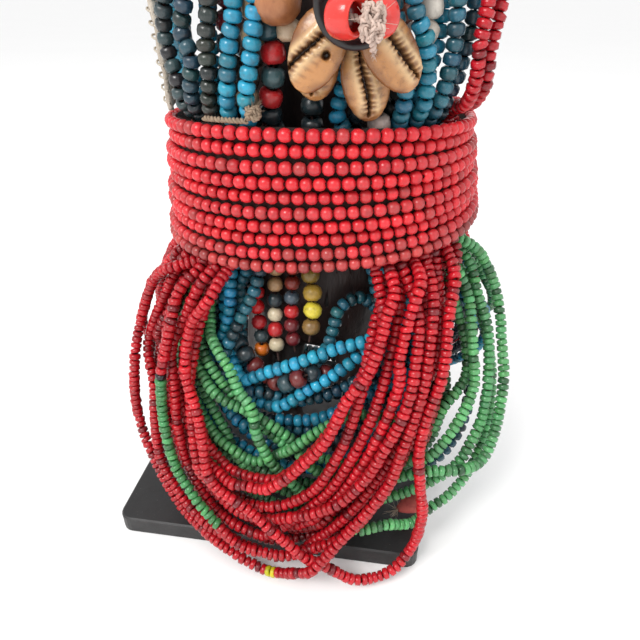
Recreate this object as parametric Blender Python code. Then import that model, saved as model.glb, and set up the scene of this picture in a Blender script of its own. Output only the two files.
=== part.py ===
"""A carved wooden doll, dressed in strands of glass beads, on a square base plate.

Metres, +Z up. The doll faces -Y. The origin is the centre of the base plate's underside.
Routes and rings of the doll are given in doll millimetres, a 392nd of the figure's height each.
"""

import math

import bmesh
import bpy
import numpy as np
from mathutils import Matrix, Vector
from mathutils.kdtree import KDTree

# Base plate
PLATE_WIDTH = 0.120
PLATE_DEPTH = 0.120
PLATE_THICKNESS = 0.008
PLATE_CORNER = 0.005
PLATE_BEVEL = 0.0006

# Figure
FIGURE_HEIGHT = 0.392
DOLL_X = 0.014
UNIT = FIGURE_HEIGHT / 392
GAP = 0.0003
COLOUR_GAP = 3 * GAP
EDGE_GAP = 5 * GAP

# Bead sizes, as diameters
SEED_BEAD = 0.0041
BLUE_BEAD = 0.0048
MIXED_BEAD = 0.0064
NUT_BEAD = 0.0110
BELT_BEAD = 0.0039

# Belt of bead rows
BELT_ROWS = 10
BELT_RECESS = 0.0010
BELT_WALL = 0.0027

# Pendant on the chest
DISC_DIAMETER = 0.0190
DISC_THICKNESS = 0.0028
BARREL_DIAMETER = 0.0088
BARREL_LENGTH = 0.0060
COWRIE_LENGTH = 0.0196
COWRIE_WIDTH = 0.0128
COWRIE_DEPTH = 0.0062
TWINE = 0.0016
KNOT_HEIGHT = 0.0078
KNOT_WIDTH = 0.0054

# Small pieces among the strands
CONE_LENGTH = 0.0095
CONE_DIAMETER = 0.0085
HIDE_THICKNESS = 0.0016

# How finely the solids are faceted
STRAND_SIDES = 4
STRAND_TURN = 0.13
RING_SIDES = 3
RING_STEPS = 22
BELT_STEPS = 24
CHORD = 0.0018
CHORD_BY_BELT = 0.0006
SAMPLE = 0.0021

SUPERELLIPSE = 2.3

# Outline of the dressed doll: height above the plate, half width, half depth
ENVELOPE = (
    (-6, 60, 72), (4, 66, 72), (20, 75, 70), (40, 80, 66), (60, 78, 62),
    (80, 69, 57), (96, 60, 51), (108, 55, 46.5), (115, 53.5, 44.5), (145.6, 48.5, 49.5),
    (160, 49.5, 48.5), (180, 51, 48), (200, 50, 47), (215, 47, 44), (226, 44, 40),
    (238, 36, 33), (246, 28, 27), (254, 21, 21), (262, 18.5, 18.5), (292, 18.5, 18.5),
)

# Carved body, neck and head: height, half width, half depth, how far it leans forward
BODY_RINGS = (
    (58, 16, 12, 0), (64, 26, 19, 0), (74, 32, 23, 0), (86, 34, 25, 1), (96, 32, 24, 1),
    (106, 28, 21, 0), (115, 24.5, 19.5, 0), (126, 23.5, 19.5, 0), (140, 24, 21, 0),
    (160, 27, 23, 0), (184, 30, 24, 0), (206, 31.5, 23.5, 0), (222, 32, 21, 0),
    (233, 29, 18.5, 0), (241, 21, 16, 0), (249, 14.5, 14, 0), (258, 13, 13, 0),
    (280, 13, 13, 0), (286, 17, 18, 2), (294, 24, 27, 4), (306, 30, 33, 4),
    (324, 34.5, 37, 3), (344, 36, 38, 1), (362, 33, 35, 0), (377, 25, 27, 0),
    (387, 14, 16, 0), (391, 5, 6, 0),
)
BODY_SIDES = 12

# Limbs as (x, y, height, radius), for the doll's own left side; the other side mirrors it
LEG = ((17, 0, 72, 14), (19, -5, 46, 12.5), (18, -1, 30, 10), (18, 2, 12, 9.5))
ARM = ((25, 0, 223, 10), (44, 1, 217, 9), (60, 2, 208, 8), (66, -6, 200, 7), (66, -18, 196, 6),
       (65, -30, 197, 7.5), (64, -38, 199, 4))
FOOT_HEIGHT = 15
FOOT_WIDTH = 24
FOOT_LENGTH = 40
FOOT_X = 18
FOOT_Y = -6

# Rings of thread under the belt: height, layer and the thread's radius for each colour of strand
RED_RING = (121, -6.2, 0.00145)
GREEN_RING = (125, -10.9, 0.00145)
BLUE_RING = (129, -15.8, 0.00162)
MIXED_RING = (133, -21.0, 0.00162)
RING_ROOM = 0.00027

# Strands: first and last angle on the thread ring, then the points between as (angle, height, layer).
# Angle 0 is the front, and it grows towards +X. Layer 0 is the outline above, and minus is inwards.
RED_ROUTES = (
    (-50, 48, ((-64, 92, 0), (-65, 78, 0), (-60, 58, 0), (-59, 35, 0), (-49, 20, 0),
               (-38, 4, 0), (-21, 2, 0), (-7, -2, 0), (3, 5, 0), (13, 17, 0), (20, 27, 0),
               (27, 39, 0), (31, 52, 0), (37, 69, 0), (41, 85, 0), (45, 99, 0))),
    (-55, 56, ((-60, 91, -4), (-63, 78, -4), (-63, 66, -4), (-54, 56, -4),
               (-51, 40, -3), (-48, 26, -1), (-41, 14, -1), (-28, 7, -1), (-14, 4, -2), (-3, 1, -3),
               (7, 9, -4), (14, 18, -4), (22, 31, -4), (30, 46, -4), (35, 58, -4), (41, 71, -4),
               (47, 81, -4), (52, 94, -4))),
    (-43.2, 51, ((-47, 95, 0), (-44, 85, 0), (-44, 72, 0), (-44, 65, 0), (-43, 51, 0),
               (-38, 33, 0), (-30, 21, 0), (-24, 14, 0), (-17, 7, 0), (-9, 6, 0), (1, 6, 0),
               (12, 14, -2), (22, 24, -4), (31, 38, -6), (39, 60, -7), (46, 85, -7))),
    (-47, 44, ((-46, 104, -4), (-45, 88, -4), (-45, 76, -4), (-42, 58, -4), (-41, 48, -4),
               (-38, 33, -4), (-35, 26, -4), (-27, 14, -4), (-15, 10, -4), (-9, 10, -4),
               (-2, 18, -4), (6, 28, -4), (14, 40, -4), (22, 57, -4), (27, 70, -4), (31, 82, -4),
               (35, 91, -4), (40, 103, -4))),
    (-36, 60, ((-35, 98, 0), (-38, 87, 0), (-36, 70, 0), (-31, 60, 0), (-28, 49, 0),
               (-25, 38, 0), (-20, 32, 0), (-13, 27, 0), (-7, 21, 0), (-1, 14, 0), (4, 8, 0),
               (11, 2, 0), (18, -3, 2), (28, -2, 3), (35, 5, 1), (37, 22, 0), (36, 35, 0),
               (35, 52, 0), (37, 66, 0), (42, 74, 0), (46, 83, 0), (51, 94, 0), (57, 104, 0))),
    (-39, 39, ((-39, 95, -5), (-36, 65, -5), (-32, 49, -4), (-30, 40, -4), (-26, 32, -4),
               (-20, 25, -4), (-13, 23, -4), (-6, 24, -4), (0, 27, -4), (7, 33, -4), (14, 48, -4),
               (18, 61, -4), (21, 72, -4), (28, 86, -4), (35, 103, -5))),
    (-33, 41, ((-34, 90, -5), (-30, 60, -4), (-27, 44, -3), (-20, 34, 0), (-13, 35, 0), (-9, 35, 0),
               (-4, 39, 0), (3, 47, 0), (10, 57, 0), (16, 71, 0), (22, 79, 0), (26, 87, 0),
               (30, 96, 0), (35, 103, 0))),
    (-49, 36, ((-50, 98, -8), (-44, 66, -9), (-36, 48, -8), (-28, 37, -5), (-24, 35, -4),
               (-15, 35, -4), (-6, 37, -4), (0, 42, -4), (8, 52, -5), (16, 64, -6), (24, 76, -7),
               (31, 92, -7))),
    (-59, 43, ((-58, 100, -8), (-52, 72, -9), (-44, 42, -8), (-30, 24, -6), (-18, 18, -4),
               (-8, 20, -2), (0, 24, -1), (7, 28, 0), (14, 33, 0), (21, 43, 0), (26, 54, 0),
               (32, 66, 0), (36, 81, 0), (39, 92, 0))),
    (-64, 45, ((-64, 98, -8), (-60, 66, -10), (-50, 36, -10), (-34, 18, -9), (-16, 11, -9),
               (0, 14, -8), (12, 28, -6), (20, 42, -4), (27, 58, -2), (33, 75, 0), (33, 82, 0),
               (35, 89, 0), (38, 97, 0), (41, 104, 0))),
    (-66, -263, ((-76, 82, -1), (-88, 52, -1), (-108, 30, -2), (-140, 18, -4),
                 (-180, 15, -5), (-218, 22, -5), (-246, 44, -7), (-261, 76, -7))),
    (-74, -252, ((-78, 102, -3), (-88, 72, -4), (-104, 48, -5), (-130, 36, -7), (-165, 30, -8),
                 (-195, 33, -8), (-224, 50, -8), (-243, 82, -8))),
    (-86, -214, ((-92, 100, -3), (-104, 68, -3), (-122, 50, -3), (-148, 42, -4), (-178, 46, -4),
                 (-202, 70, -4), (-212, 100, -4))),
)
SIDE_RED_ROUTES = (
    (74, 138, ((68, 150, -5), (61, 154, 1), (58.5, 160, 4), (58, 168, 4), (60, 178, 4), (62, 196, 3),
               (66, 212, 2), (74, 230, 2), (92, 244, 2), (128, 244, 1), (140, 226, 1),
               (140, 200, 0), (139, 170, 0), (138, 150, -4))),
    (66, 150, ((62, 150, -5), (56.5, 154, 1), (54, 161, 4), (53, 170, 4), (53, 178, 4), (56, 196, 3),
               (60, 214, 3), (68, 234, 3), (92, 250, 3), (132, 250, 2), (150, 226, 1),
               (151, 200, 0), (151, 170, 0), (150, 150, -4))),
)
GREEN_ROUTES = (
    (-44, 72, ((-43, 100, -9.5), (-42, 88, -9.5), (-38, 82, -9), (-33, 76, -8), (-27, 71, -8),
               (-22, 64, -8), (-17, 60, -8), (-14, 50, -8), (-11, 44, -8), (-6, 36, -8), (4, 24, -9),
               (12, 14, -8), (20, 13, -6), (29, 14, -6), (38, 11, -5), (44, 15, -5), (52, 19, -4),
               (62, 32, -4), (70, 50, -6), (76, 75, -6), (77, 100, -6))),
    (-40, 68, ((-42, 98, -9), (-43, 74, -8), (-40, 68, -8), (-34, 64, -8), (-27, 60, -8),
               (-19, 57, -8), (-14, 54, -8), (-9, 51, -8), (-3, 46, -8), (0, 41, -8), (10, 34, -10),
               (25, 32, -9), (40, 39, -4), (48, 38, -1), (56, 37, 0), (60, 43, 0), (64, 55, 0),
               (68, 65, 0), (72, 73, 0), (76, 82, 1), (80, 90, 2), (79, 102, 0))),
    (-47, 62, ((-48, 100, -11), (-46, 78, -11), (-41, 72, -11), (-36, 67, -11), (-31, 62, -11),
               (-20, 52, -13), (-5, 42, -13), (10, 38, -13), (25, 37, -12), (41, 42, -5),
               (44, 46, -4), (49, 52, -4), (54, 60, -4), (58, 66, -4), (60, 75, -4), (63, 84, -4),
               (67, 92, -4), (67, 101, -5))),
    (-36, 57, ((-37, 90, -12), (-35, 60, -11), (-32, 42, -8), (-29, 40, -8), (-23, 38, -8),
               (-17, 36, -8), (-11, 37, -8), (-3, 44, -8), (4, 50, -8), (8, 53, -8), (20, 58, -10),
               (32, 56, -10), (44, 50, -8), (49, 58, -8), (56, 63, -8), (60, 66, -8), (64, 80, -8),
               (63, 102, -9))),
    (74, -57, ((76, 99, -3), (73, 90, -3), (71, 80, -3), (67, 72, -3), (62, 62, -3),
               (59, 51, -3), (55, 44, -3), (51, 37, -3), (42, 28, -7), (28, 22, -11), (8, 20, -13),
               (-15, 26, -14), (-35, 45, -14), (-50, 75, -13), (-56, 104, -12))),
    (88, -104, ((93, 90, -2), (100, 74, -2), (112, 58, -3), (135, 42, -5), (165, 36, -8),
                (200, 42, -11), (228, 62, -12), (248, 92, -12))),
    (103, -118, ((116, 76, -2), (134, 58, -2), (158, 54, -6), (190, 56, -9),
                 (220, 74, -10), (238, 100, -11))),
)
BLUE_ROUTES = (
    (-47, 57, ((-46, 99, -15), (-42, 92, -15), (-40, 86, -15), (-41, 79, -15), (-44, 64, -15),
               (-45, 51, -15), (-40, 43, -15), (-32, 37, -15), (-23, 34, -15), (-10, 30, -17),
               (5, 30, -18), (20, 34, -18), (34, 48, -17), (46, 70, -16), (54, 97, -15))),
    (-27, 45, ((-27, 99, -15), (-28, 93, -15), (-31, 86, -15), (-33, 80, -15), (-36, 71, -15),
               (-36, 60, -18), (-26, 50, -20), (-10, 44, -21), (8, 44, -21), (24, 52, -20),
               (36, 70, -19), (42, 97, -18))),
    (-51, 51, ((-50, 95, -17), (-42, 72, -18), (-28, 63, -15), (-19, 67, -15), (-6, 72, -15),
               (5, 76, -15), (15, 79, -15), (25, 81, -15), (33, 84, -15), (42, 92, -14))),
    (-40, 47, ((-42, 90, -20), (-34, 62, -19), (-18, 54, -17), (-9, 56, -15), (0, 62, -15),
               (9, 67, -15), (17, 72, -15), (24, 77, -15), (30, 80, -15), (38, 88, -15),
               (45, 104, -15))),
    (-33, 54, ((-32, 84, -24), (-26, 62, -24), (-14, 58, -22), (0, 64, -20), (9, 75, -20),
               (13, 81, -20), (17, 88, -20), (23, 91, -20), (33, 92, -20), (41, 88, -20),
               (49, 94, -19))),
    (62, -62, ((64, 104, -12), (70, 80, -11), (66, 54, -12), (56, 36, -12), (40, 26, -15),
               (18, 22, -18), (-10, 24, -19), (-34, 34, -19), (-52, 60, -17), (-60, 96, -16))),
    (80, -92, ((92, 80, -9), (108, 60, -9), (136, 48, -11), (175, 46, -14),
               (214, 54, -15), (244, 76, -16), (262, 104, -16))),
)
NECKLACE_ROUTES = (
    (-40, -293, ((-39, 147, -7), (-38, 153, 0), (-44, 159, 0), (-48, 166, 0), (-48, 172, 0),
                 (-45, 178, 0), (-42, 195, 0), (-40, 212, 0), (-46, 226, 0), (-62, 240, 0),
                 (-95, 252, 0), (-180, 257, 0), (-265, 252, 0), (-298, 240, 0), (-308, 226, 0),
                 (-306, 200, 0), (-303, 178, 0), (-303, 168, 0), (-301.5, 157, 0), (-301, 151, -1),
                 (-297, 146, -7))),
    (-33, -303, ((-33, 147, -7), (-32, 153, -1), (-33, 162, 0), (-35, 166, 0), (-38, 172, 0),
                 (-35, 178, 0), (-34, 195, 0), (-34, 212, 0), (-38, 226, 0), (-52, 243, 0),
                 (-90, 258, 0), (-180, 263, 0), (-270, 258, 0), (-308, 243, 0), (-318, 226, 0),
                 (-314, 203, 0), (-313, 178, 0), (-311.5, 170, 0), (-311, 159, 0), (-310.5, 151, -1),
                 (-306, 146, -7))),
    (-26, -312, ((-26, 148, -7), (-27, 153, -1), (-28, 163, 0), (-28, 171, 0), (-26, 177, 0),
                 (-27, 200, 0), (-31, 222, 0), (-46, 246, 0), (-85, 264, 0), (-180, 269, 0),
                 (-275, 264, 0), (-314, 246, 0), (-326, 222, 0), (-328, 200, 0), (-328, 178, 0),
                 (-323, 170, 0), (-320, 161, 0), (-318.5, 152, -1), (-315, 147, -7))),
    (-20, -320, ((-21, 148, -7), (-22, 154, -1), (-22, 163, 0), (-20, 170, 0), (-18, 177, 0),
                 (-20, 200, 0), (-24, 222, 0), (-40, 249, 0), (-80, 270, 0), (-180, 275, 0),
                 (-280, 270, 0), (-320, 249, 0), (-334, 222, 0), (-334, 200, -1), (-330.5, 178, -3),
                 (-326, 165, -2), (-326, 153, -2), (-323, 148, -7))),
)
MIXED_ROUTES = (
    (-14, -340, ((-14, 146, -14), (-12, 155, -8), (-9, 166, -6), (-11, 174, -6), (-12, 190, -6),
                 (-14, 210, -5), (-20, 228, -4), (-50, 243, 0), (-110, 250, 1), (-180, 251, 1),
                 (-250, 250, 1), (-310, 243, 0), (-332, 228, -4), (-330, 210, -6), (-326, 190, -7),
                 (-326, 174, -7), (-334, 158, -9), (-340, 147, -14))),
)
DROP_ROUTES = (
    (-45, ((-45, 105, -22), (-39, 88, -23.5), (-30, 75, -24), (-32, 63, -25))),
    (-23, ((-22.5, 108, -23.8), (-20, 88, -23.8), (-17.5, 76, -23), (-15, 68, -23))),
    (-16, ((-18, 108, -22), (-13, 90, -22), (-10, 80, -22), (-7, 70, -23))),
    (-2, ((0, 104, -18), (4, 90, -18), (5, 76, -18))),
    (44, ((45, 108, -22), (48, 95, -22), (51, 86, -22))),
)

# Pieces of their own, placed as (angle, height, layer)
DISC_AT = (15, 179, 9.3)
NUT_AT = (-5.5, 177, -1.5)
CONE_AT = (44.2, 7.4, -13)
HIDE_ANGLES = (-58, -104)
HIDE_HEIGHTS = (150, 200)
HIDE_LAYER = -1.5
CORD_ANGLES = (-31, -15)

# Cowries hang behind the disc: right of, above and in front of its centre as shares of a shell's length,
# then turned about the vertical, leaned to the right and tipped forward by degrees
COWRIES_AT = ((-0.400, -0.505, -0.359, -8.7, 24, -4), (0.263, -0.877, -0.588, 4.1, -10, 0),
              (0.485, -0.531, -0.228, 10.2, -36, -8), (-0.375, -0.633, -0.750, -10.2, 0, 0))
# The knot's tail, the same way from the knot, as shares of its height
TAIL_AT = ((0.05, -0.55, -0.08), (0.12, -0.82, -0.25))
KNOT_ASIDE = 0.0008
RING_BEAD_TURN = 24
BARREL_RUNS = (-0.5, -0.3, 0.3, 0.5)
BARREL_SHARES = (0.36, 0.5, 0.5, 0.36)


def clear_scene():
    for old in list(bpy.data.objects):
        bpy.data.objects.remove(old)


def material(name, colour, roughness, metallic=0.0):
    made = bpy.data.materials.new(name)
    made.use_nodes = True
    shader = made.node_tree.nodes["Principled BSDF"]
    shader.inputs["Base Color"].default_value = (*colour, 1.0)
    shader.inputs["Roughness"].default_value = roughness
    shader.inputs["Metallic"].default_value = metallic
    return made


def mesh_object(name, points, faces, finish=None):
    """A new object with outward faces, in the scene."""
    mesh = bpy.data.meshes.new(name)
    mesh.from_pydata([tuple(map(float, p)) for p in points], [], [tuple(map(int, f)) for f in faces])
    work = bmesh.new()
    work.from_mesh(mesh)
    bmesh.ops.recalc_face_normals(work, faces=work.faces)
    work.to_mesh(mesh)
    work.free()
    if finish:
        mesh.materials.append(finish)
    made = bpy.data.objects.new(name, mesh)
    bpy.context.scene.collection.objects.link(made)
    return made


def fuse(name, solids, finish):
    """One object from overlapping solids: the first, joined with the others by a Boolean union."""
    helpers = bpy.data.collections.new(name + "_joined")
    helpers.hide_render = True
    bpy.context.scene.collection.children.link(helpers)
    made = mesh_object(name, *solids[0], finish)
    for number, solid in enumerate(solids[1:]):
        helper = mesh_object(f"{name}_helper_{number}", *solid, finish)
        bpy.context.scene.collection.objects.unlink(helper)
        helpers.objects.link(helper)
        helper.hide_render = True
        helper.display_type = "WIRE"
    union = made.modifiers.new("Join", "BOOLEAN")
    union.operation = "UNION"
    union.solver = "EXACT"
    union.operand_type = "COLLECTION"
    union.collection = helpers
    joined = made.evaluated_get(bpy.context.evaluated_depsgraph_get())
    work = bmesh.new()
    work.from_mesh(joined.to_mesh())
    joined.to_mesh_clear()
    made.modifiers.clear()
    for helper in list(helpers.objects):
        bpy.data.objects.remove(helper)
    bpy.data.collections.remove(helpers)
    drop_specks(work)
    work.to_mesh(made.data)
    work.free()
    return made


def drop_specks(work):
    """Remove the tiny shells that a union leaves as sealed voids, so that one closed body is left."""
    work.faces.ensure_lookup_table()
    shells = []
    seen = set()
    for start in work.faces:
        if start.index in seen:
            continue
        seen.add(start.index)
        shell = [start]
        for face in shell:
            for edge in face.edges:
                for other in edge.link_faces:
                    if other.index not in seen:
                        seen.add(other.index)
                        shell.append(other)
        shells.append(shell)
    shells.sort(key=len)
    specks = [face for shell in shells[:-1] for face in shell]
    bmesh.ops.delete(work, geom=specks, context="FACES")


def reach(angle, half_width, half_depth, power=SUPERELLIPSE):
    """How far a rounded oval reaches at this angle from the front."""
    side, front = abs(math.sin(math.radians(angle))), abs(math.cos(math.radians(angle)))
    return ((side / half_width) ** power + (front / half_depth) ** power) ** (-1 / power)


def place(angle, height, layer=0.0):
    """The point at an angle, a height and a layer of the dressed doll, in metres."""
    heights, widths, depths = np.transpose(ENVELOPE)
    far = reach(angle, np.interp(height, heights, widths) + layer, np.interp(height, heights, depths) + layer)
    turned = math.radians(angle)
    return np.array((DOLL_X + far * math.sin(turned) * UNIT,
        -far * math.cos(turned) * UNIT,
        PLATE_THICKNESS + height * UNIT))


def smooth(knots, step):
    """Points every step along a centripetal Catmull-Rom curve through the knots."""
    knots = np.array(knots)
    padded = np.vstack([2 * knots[0] - knots[1], knots, 2 * knots[-1] - knots[-2]])
    times = np.concatenate([[0], np.cumsum(np.linalg.norm(np.diff(padded, axis=0), axis=1) ** 0.5)])
    fine = []
    for i in range(1, len(padded) - 2):
        t0, t1, t2, t3 = times[i - 1:i + 3]
        p0, p1, p2, p3 = padded[i - 1:i + 3]
        t = np.linspace(t1, t2, 24, endpoint=False)[:, None]
        a1 = (t1 - t) / (t1 - t0) * p0 + (t - t0) / (t1 - t0) * p1
        a2 = (t2 - t) / (t2 - t1) * p1 + (t - t1) / (t2 - t1) * p2
        a3 = (t3 - t) / (t3 - t2) * p2 + (t - t2) / (t3 - t2) * p3
        b1 = (t2 - t) / (t2 - t0) * a1 + (t - t0) / (t2 - t0) * a2
        b2 = (t3 - t) / (t3 - t1) * a2 + (t - t1) / (t3 - t1) * a3
        fine.append((t2 - t) / (t2 - t1) * b1 + (t - t1) / (t2 - t1) * b2)
    fine = np.vstack(fine + [knots[-1:]])
    run = np.concatenate([[0], np.cumsum(np.linalg.norm(np.diff(fine, axis=0), axis=1))])
    marks = np.linspace(0, run[-1], max(2, round(run[-1] / step)) + 1)
    return np.stack([np.interp(marks, run, fine[:, k]) for k in range(3)], axis=1)


def settle(strands, radii, groups, rings, rounds=90, reach_out=0.013):
    """Bend strands softly apart where they press into each other, the rings, the belt, the plate or the figure.

    rings are (points, radius, group) of the thread rings, which stay, as do the strands' tied ends.
    """
    lines = list(strands) + [ring for ring, _, _ in rings]
    starts = np.cumsum([0] + [len(line) for line in lines])
    owner = np.repeat(np.arange(len(lines)), np.diff(starts))
    thick = np.array(list(radii) + [radius for _, radius, _ in rings])[owner]
    group = np.array(list(groups) + [number for _, _, number in rings])[owner]
    rest = np.vstack(lines)
    held = owner >= len(strands)
    for a, b in zip(starts[:len(strands)], starts[1:]):
        held[a:a + 2] = True
        held[b - 2:b] = rest[b - 1, 2] > PLATE_THICKNESS + 115 * UNIT
    tied = owner >= len(strands)
    tree = KDTree(len(rest))
    for i, point in enumerate(rest):
        tree.insert(point, i)
    tree.balance()
    pairs = []
    for i, point in enumerate(rest):
        for _, j, _ in tree.find_range(point, reach_out):
            apart = owner[i] != owner[j] and not (held[i] and held[j])
            if j > i and apart and not ((tied[i] or tied[j]) and group[i] == group[j]):
                pairs.append((i, j))
    first, second = np.array(pairs).T
    wanted = thick[first] + thick[second] + np.where(group[first] == group[second], GAP, COLOUR_GAP)
    first_share = np.where(held[first], 0.0, np.where(held[second], 1.0, 0.5))
    second_share = np.where(held[second], 0.0, np.where(held[first], 1.0, 0.5))
    shift = np.zeros_like(rest)
    for _ in range(rounds):
        now = rest + shift
        apart = now[second] - now[first]
        far = np.linalg.norm(apart, axis=1)
        press = np.clip(wanted - far, 0, None)
        push = apart / np.maximum(far, 1e-6)[:, None] * (0.6 * press)[:, None]
        move = np.zeros_like(rest)
        count = np.zeros(len(rest))
        np.add.at(move, first, -push * first_share[:, None])
        np.add.at(move, second, push * second_share[:, None])
        np.add.at(count, first[press > 0], 1)
        np.add.at(count, second[press > 0], 1)
        shift += move / np.maximum(1, count / 2)[:, None]
        for keep in (keep_off_body, keep_off_plate, keep_off_belt):
            shift += keep(rest + shift, thick)
        shift[held] = 0
        for a, b in zip(starts[:-1], starts[1:]):
            piece = shift[a:b]
            piece[1:-1] = 0.6 * piece[1:-1] + 0.2 * (piece[:-2] + piece[2:])
        shift[held] = 0
    settled = rest + shift
    return [settled[a:b] for a, b in zip(starts[:len(strands)], starts[1:])]


def keep_off_belt(points, thick):
    """The moves that bring points inside the belt's wall, or away from its top and bottom rows."""
    east, north = points[:, 0] - DOLL_X, points[:, 1]
    angles = np.degrees(np.arctan2(east, -north))
    span = np.hypot(east, north)
    moves = np.zeros_like(points)
    for i in np.flatnonzero(abs(points[:, 2] - PLATE_THICKNESS - 129 * UNIT) < 30 * UNIT):
        low, low_far = belt_row(0, angles[i])
        high, high_far = belt_row(BELT_ROWS - 1, angles[i])
        level = (points[i, 2] - PLATE_THICKNESS) / UNIT
        share = (level - low) / (high - low)
        if 0 < share < 1:
            most = (low_far + (high_far - low_far) * share) * UNIT - BELT_WALL - thick[i] - COLOUR_GAP
            outward = min(0.0, most - span[i])
            moves[i, :2] = np.array((east[i], north[i])) / span[i] * outward
            continue
        end, end_far = (low, low_far) if share <= 0 else (high, high_far)
        away = np.array((span[i] - (end_far - 0.5) * UNIT, (level - end) * UNIT))
        short = thick[i] + BELT_BEAD / 2 + EDGE_GAP - np.hypot(*away)
        if short > 0:
            inward = np.array((-0.8, math.copysign(0.6, away[1])))
            moves[i, :2] = np.array((east[i], north[i])) / span[i] * inward[0] * short
            moves[i, 2] = inward[1] * short
    return moves


def keep_off_body(points, thick):
    """The moves that bring points outside the figure's body."""
    heights, widths, depths, leans = np.transpose(BODY_RINGS)
    level = (points[:, 2] - PLATE_THICKNESS) / UNIT
    room = thick / UNIT + 2 * GAP / UNIT
    wide = np.interp(level, heights, widths) + room
    deep = np.interp(level, heights, depths) + room
    lean = np.interp(level, heights, leans)
    east = (points[:, 0] - DOLL_X) / UNIT
    north = points[:, 1] / UNIT + lean
    inside = np.hypot(east / wide, north / deep)
    outward = np.clip(1 / np.maximum(inside, 0.05) - 1, 0, 0.3)
    outward[(level < heights[0]) | (level > heights[-1])] = 0
    moves = np.zeros_like(points)
    moves[:, 0] = east * outward * UNIT
    moves[:, 1] = north * outward * UNIT
    return moves


def keep_off_plate(points, thick):
    """The moves that lift points off the plate's top, or bring them out from its edge."""
    room = thick + 2 * GAP
    over = np.minimum(PLATE_WIDTH / 2 + room - abs(points[:, 0]), PLATE_DEPTH / 2 + room - abs(points[:, 1]))
    lift = np.clip(PLATE_THICKNESS + room - points[:, 2], 0, None)
    lift[over < 0] = 0
    moves = np.zeros_like(points)
    upward = lift < np.clip(over, 0, None)
    moves[upward, 2] = lift[upward]
    sideways = (lift > 0) & ~upward
    moves[sideways, 1] = np.sign(points[sideways, 1]) * over[sideways]
    return moves


def fewer(points):
    """The points that a line needs to stay within a chord's height of the whole line."""
    level = (points[:, 2] - PLATE_THICKNESS) / UNIT
    near = ((level > 102) & (level < 121)) | ((level > 144) & (level < 156))
    allowed = np.where(near, CHORD_BY_BELT, CHORD)
    keep = [0, len(points) - 1]
    todo = [(0, len(points) - 1)]
    while todo:
        a, b = todo.pop()
        if b - a < 2:
            continue
        along = points[b] - points[a]
        between = points[a + 1:b] - points[a]
        share = np.clip(between @ along / max(along @ along, 1e-12), 0, 1)
        off = np.linalg.norm(between - share[:, None] * along, axis=1) / allowed[a + 1:b]
        worst = int(off.argmax())
        if off[worst] > 1:
            middle = a + 1 + worst
            keep.append(middle)
            todo += [(a, middle), (middle, b)]
    return points[sorted(keep)]


def sweep(points, outlines, closed=False):
    """A solid through cross-sections, each a list of offsets (across, up) at its point."""
    points = np.asarray(points)
    count = len(points)
    ahead = np.roll(points, -1, axis=0) - points
    behind = points - np.roll(points, 1, axis=0)
    if not closed:
        ahead[-1] = behind[-1]
        behind[0] = ahead[0]
    along = ahead / np.linalg.norm(ahead, axis=1)[:, None] + behind / np.linalg.norm(behind, axis=1)[:, None]
    along /= np.linalg.norm(along, axis=1)[:, None]
    up = np.array((0.0, 0.0, 1.0))
    if abs(along[0] @ up) > 0.8:
        up = np.array((points[0][0] - DOLL_X, points[0][1], 0.0))
    corners = []
    for i in range(count):
        up = up - along[i] * (along[i] @ up)
        up /= np.linalg.norm(up)
        across = np.cross(along[i], up)
        corners += [points[i] + across * u + up * v for u, v in outlines[i]]
    sides = len(outlines[0])
    faces = []
    for i in range(count if closed else count - 1):
        j = (i + 1) % count
        for k in range(sides):
            m = (k + 1) % sides
            faces.append((i * sides + k, i * sides + m, j * sides + m, j * sides + k))
    if not closed:
        faces.append(tuple(range(sides)))
        faces.append(tuple(range((count - 1) * sides, count * sides)))
    return corners, faces


def circle(radius, sides, turn=0.0):
    angles = [2 * math.pi * (k + turn) / sides for k in range(sides)]
    return [(radius * math.cos(a), radius * math.sin(a)) for a in angles]


def tube(points, radius, sides=STRAND_SIDES, turn=0.5):
    return sweep(points, [circle(radius, sides, turn)] * len(points))


def ring_line(ring, steps=RING_STEPS):
    height, layer, _ = ring
    return [place(360 * k / steps, height, layer) for k in range(steps)]


def thread_ring(ring):
    """A closed ring round the waist, where strands of one colour are tied."""
    return sweep(ring_line(ring), [circle(ring[2], RING_SIDES, 0.5)] * RING_STEPS, closed=True)


def loft(rings, sides, centre_x=DOLL_X, lift=PLATE_THICKNESS + GAP):
    """A closed solid of oval rings (height, half width, half depth, forward lean), in doll millimetres."""
    corners = []
    for height, wide, deep, lean in rings:
        for k in range(sides):
            angle = 360 * (k + 0.5) / sides
            far = reach(angle, wide, deep, 2.2)
            corners.append((centre_x + far * math.sin(math.radians(angle)) * UNIT,
                (-far * math.cos(math.radians(angle)) - lean) * UNIT,
                lift + height * UNIT))
    faces = [tuple(range(sides)), tuple(range((len(rings) - 1) * sides, len(rings) * sides))]
    for i in range(len(rings) - 1):
        for k in range(sides):
            m = (k + 1) % sides
            faces.append((i * sides + k, i * sides + m, (i + 1) * sides + m, (i + 1) * sides + k))
    return corners, faces


def limb(stations, side, sides=8):
    """A carved limb along (x, y, height, radius) stations; side is 1 or -1."""
    points = [(DOLL_X + side * x * UNIT, y * UNIT, PLATE_THICKNESS + z * UNIT) for x, y, z, _ in stations]
    return sweep(points, [circle(r * UNIT, sides, 0.5) for _, _, _, r in stations])


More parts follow.
